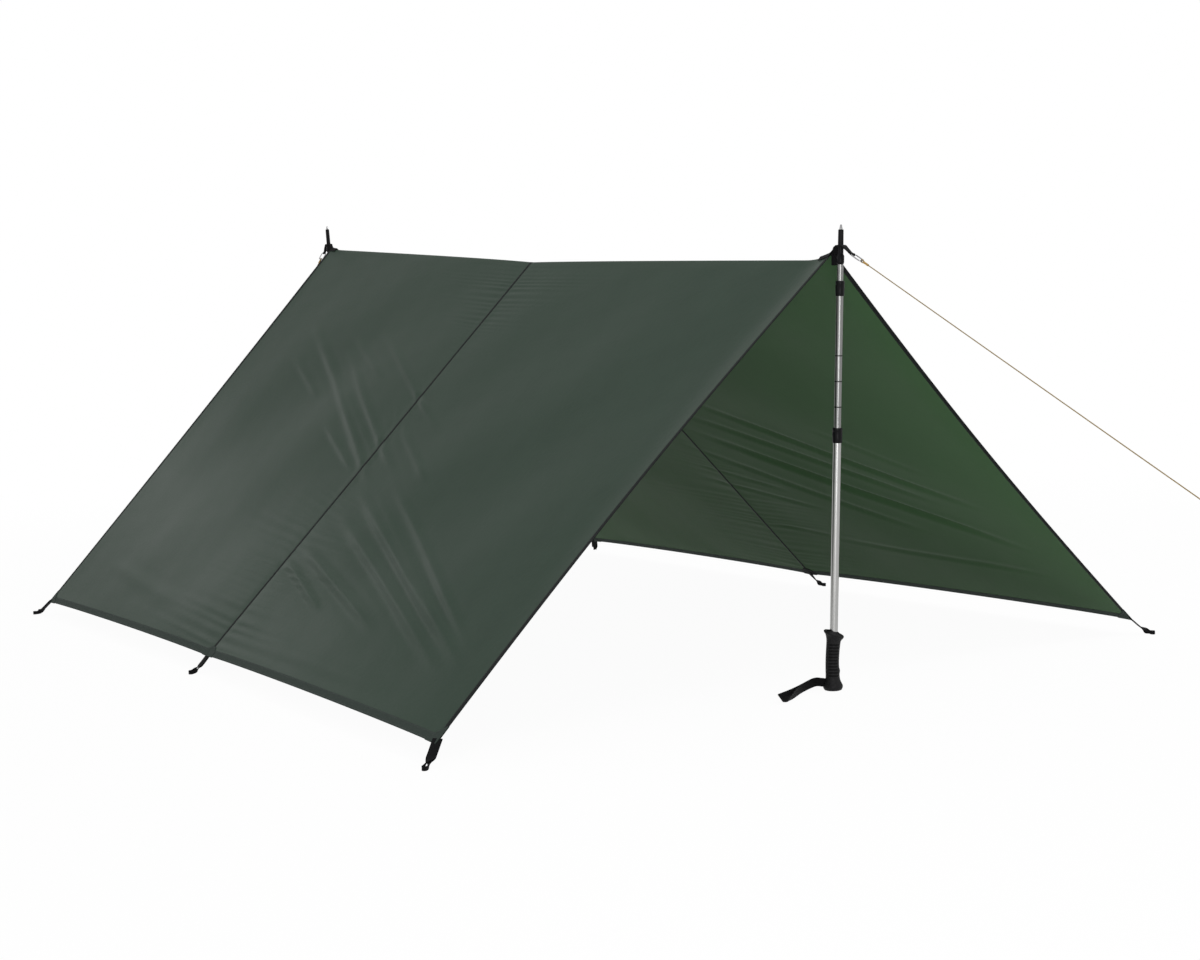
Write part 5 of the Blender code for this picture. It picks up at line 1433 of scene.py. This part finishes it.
def ground_depth(end, out, across):
    """Distance from the tip, along the pole, at which a point beside its axis meets the ground."""
    height = -(EYELET[end].z + POLE_OUT[end].z * out + ACROSS.z * across) / POLE_UP[end].z
    return EYELET_BELOW_TIP[end] - height


def mould_grip(name, end):
    """Grip from its foot on the ground up over the ribs, round its lip and down the tube's bore."""
    foot = ground_depth(end, 0.0, 0.0)
    turn = full_turn(72)
    ahead = np.cos(turn - GRIP_FACING[end])
    outline = through_points(GRIP_OUTLINE, 240)
    rings, wear_and_painted_shade = [], []

    def add_ring(radius, depth, bow=0.0, ring_wear_and_painted_shade=PLAIN_WEAR_AND_PAINTED_SHADE):
        out = radius * np.cos(turn) + bow * math.cos(GRIP_FACING[end])
        across = radius * np.sin(turn) + bow * math.sin(GRIP_FACING[end])
        rings.append(np.stack([out, across, depth], axis=-1))
        wear_and_painted_shade.append(np.broadcast_to(ring_wear_and_painted_shade, turn.shape))

    for radius, lift in GRIP_FOOT:
        add_ring(radius, ground_depth(end, radius * np.cos(turn), radius * np.sin(turn)) - lift)
    for height in np.linspace(GRIP_OUTLINE[0][0], GRIP_OUTLINE[-1][0], 260):
        radius = np.interp(height, outline[:, 0], outline[:, 1])
        share = (height - RIB_FROM) / (RIB_TO - RIB_FROM)
        panel = smooth(share / 0.02) * smooth((1 - share) / 0.02)
        groove = (0.5 - 0.5 * math.cos(2 * math.pi * RIB_COUNT * share)) ** 0.6 if 0 < share < 1 else 0.0
        window = smooth((0.74 - np.abs(ahead)) / 0.10)
        bump = 0.0016 * math.exp(-(((height - 0.046) / 0.006) ** 2)) * np.clip(ahead, 0, 1) ** 2
        reach = radius - RIB_DEPTH * panel * groove * window + bump
        reach = reach - 0.0003 * panel * smooth((0.06 - np.abs(np.abs(ahead) - 0.80)) / 0.04)
        tilt = LIP_SLANT * float(smooth((height - 0.112) / 0.016))
        bow = -GRIP_BOW * math.sin(math.pi * min(1.0, max(0.0, (height - 0.020) / 0.098)))
        # Grooves get painted shade; rib crowns get a paler tone, part wear and part painted highlight.
        ring_wear_and_painted_shade = PLAIN_WEAR_AND_PAINTED_SHADE - panel * window * (0.7 * groove - 0.3 * (1 - groove))
        add_ring(reach, foot - (height - tilt * ahead), bow, ring_wear_and_painted_shade)
    for radius, height, slanted in GRIP_MOUTH:
        add_ring(radius, foot - (height - LIP_SLANT * slanted * ahead))
    grip = skin(name, on_pole(end, np.array(rings)), GRIP_RUBBER, crease=48.0, marks={"wear_and_painted_shade": wear_and_painted_shade})
    return fasten(grip, f"{ENDS[end]}_upper_section", "rubber", f"{ENDS[end]}_grip")


for end, end_name in ENDS.items():
    mould_grip(f"{end_name}_moulded_grip", end)


# Wrist straps: soft ribbed band, doubled into a loop that leaves the grip's head and lies on
# the ground on its edge.  Its far end stands open, its upper edge leaning out.

STRAP_T = 0.0013
STRAP_WIDTH = 0.0200
STRAP_GAP = 0.0015
STRAP_END_GAP = 0.0200
STRAP_END_LEAN = 0.60
STRAP_EDGE = STRAP_WIDTH / 2 + 0.0005
STRAP_ROUTE = {
    1: [
        (-0.0075, -0.0110, 0.0165),
        (-0.0140, -0.0212, 0.0185),
        (-0.0230, -0.0360, 0.0190),
        (-0.0110, -0.0850, STRAP_EDGE + 0.003),
        (0.0160, -0.1400, STRAP_EDGE),
        (0.0330, -0.1720, STRAP_EDGE),
    ],
    -1: [
        (-0.0130, 0.0030, 0.0165),
        (-0.0250, 0.0058, 0.0185),
        (-0.0420, 0.0100, 0.0190),
        (-0.0900, 0.0020, STRAP_EDGE + 0.003),
        (-0.1450, -0.0180, STRAP_EDGE),
        (-0.1750, -0.0400, STRAP_EDGE),
    ],
}


def lay_strap(name, end):
    """Band laid doubled along its route, its two layers parting towards the bend at the far end."""
    foot = Vector(on_pole(end, (0.0, 0.0, ground_depth(end, 0.0, 0.0))))
    line = through_points([foot + Vector(point) for point in STRAP_ROUTE[end]], 70)
    ways = unit(np.gradient(line, axis=0))
    sideways = unit(np.stack([ways[:, 1], -ways[:, 0], np.zeros(len(ways))], axis=-1))
    share = np.linspace(0.0, 1.0, len(line))
    opened = smooth((share - 0.62) / 0.38)
    offset = (STRAP_GAP + (STRAP_END_GAP - STRAP_GAP) * opened + STRAP_T) / 2
    wave = 0.0005 * np.sin(share * 19.0) * smooth(share / 0.2)
    up = np.array((0.0, 0.0, 1.0))

    def band(place, facing, lean):
        across = up * math.cos(lean) + facing * math.sin(lean)
        through = facing * math.cos(lean) - up * math.sin(lean)
        return band_ring(place, through, across, STRAP_WIDTH / 2, STRAP_T)

    def layer_ring(k, side):
        place = line[k] + sideways[k] * (offset[k] + wave[k]) * side
        return band(place, sideways[k] * side, STRAP_END_LEAN * opened[k])

    rings = [layer_ring(k, 1) for k in range(len(line))]
    end_way = unit(ways[-1] * (1, 1, 0))
    for angle in np.linspace(math.pi / 2, -math.pi / 2, 15)[1:-1]:
        radial = end_way * math.cos(angle) + sideways[-1] * math.sin(angle)
        rings.append(band(line[-1] + radial * offset[-1], radial, STRAP_END_LEAN))
    rings += [layer_ring(k, -1) for k in reversed(range(len(line)))]
    strap = skin(name, rings, BLACK_WEBBING, crease=60.0)
    return fasten(strap, f"{ENDS[end]}_upper_section", "webbing", f"{ENDS[end]}_wrist_strap")


for end, end_name in ENDS.items():
    lay_strap(f"{end_name}_hand_strap", end)


# The cloth as a sheet: each panel was cut flat, with a ridge-wise width and the length of
# both slopes, and is held stretched.

for end, panel in panels.items():
    slopes = [float(slope_length(end, side, u)) for side in (-1, 1) for u in (0.0, 1.0)]
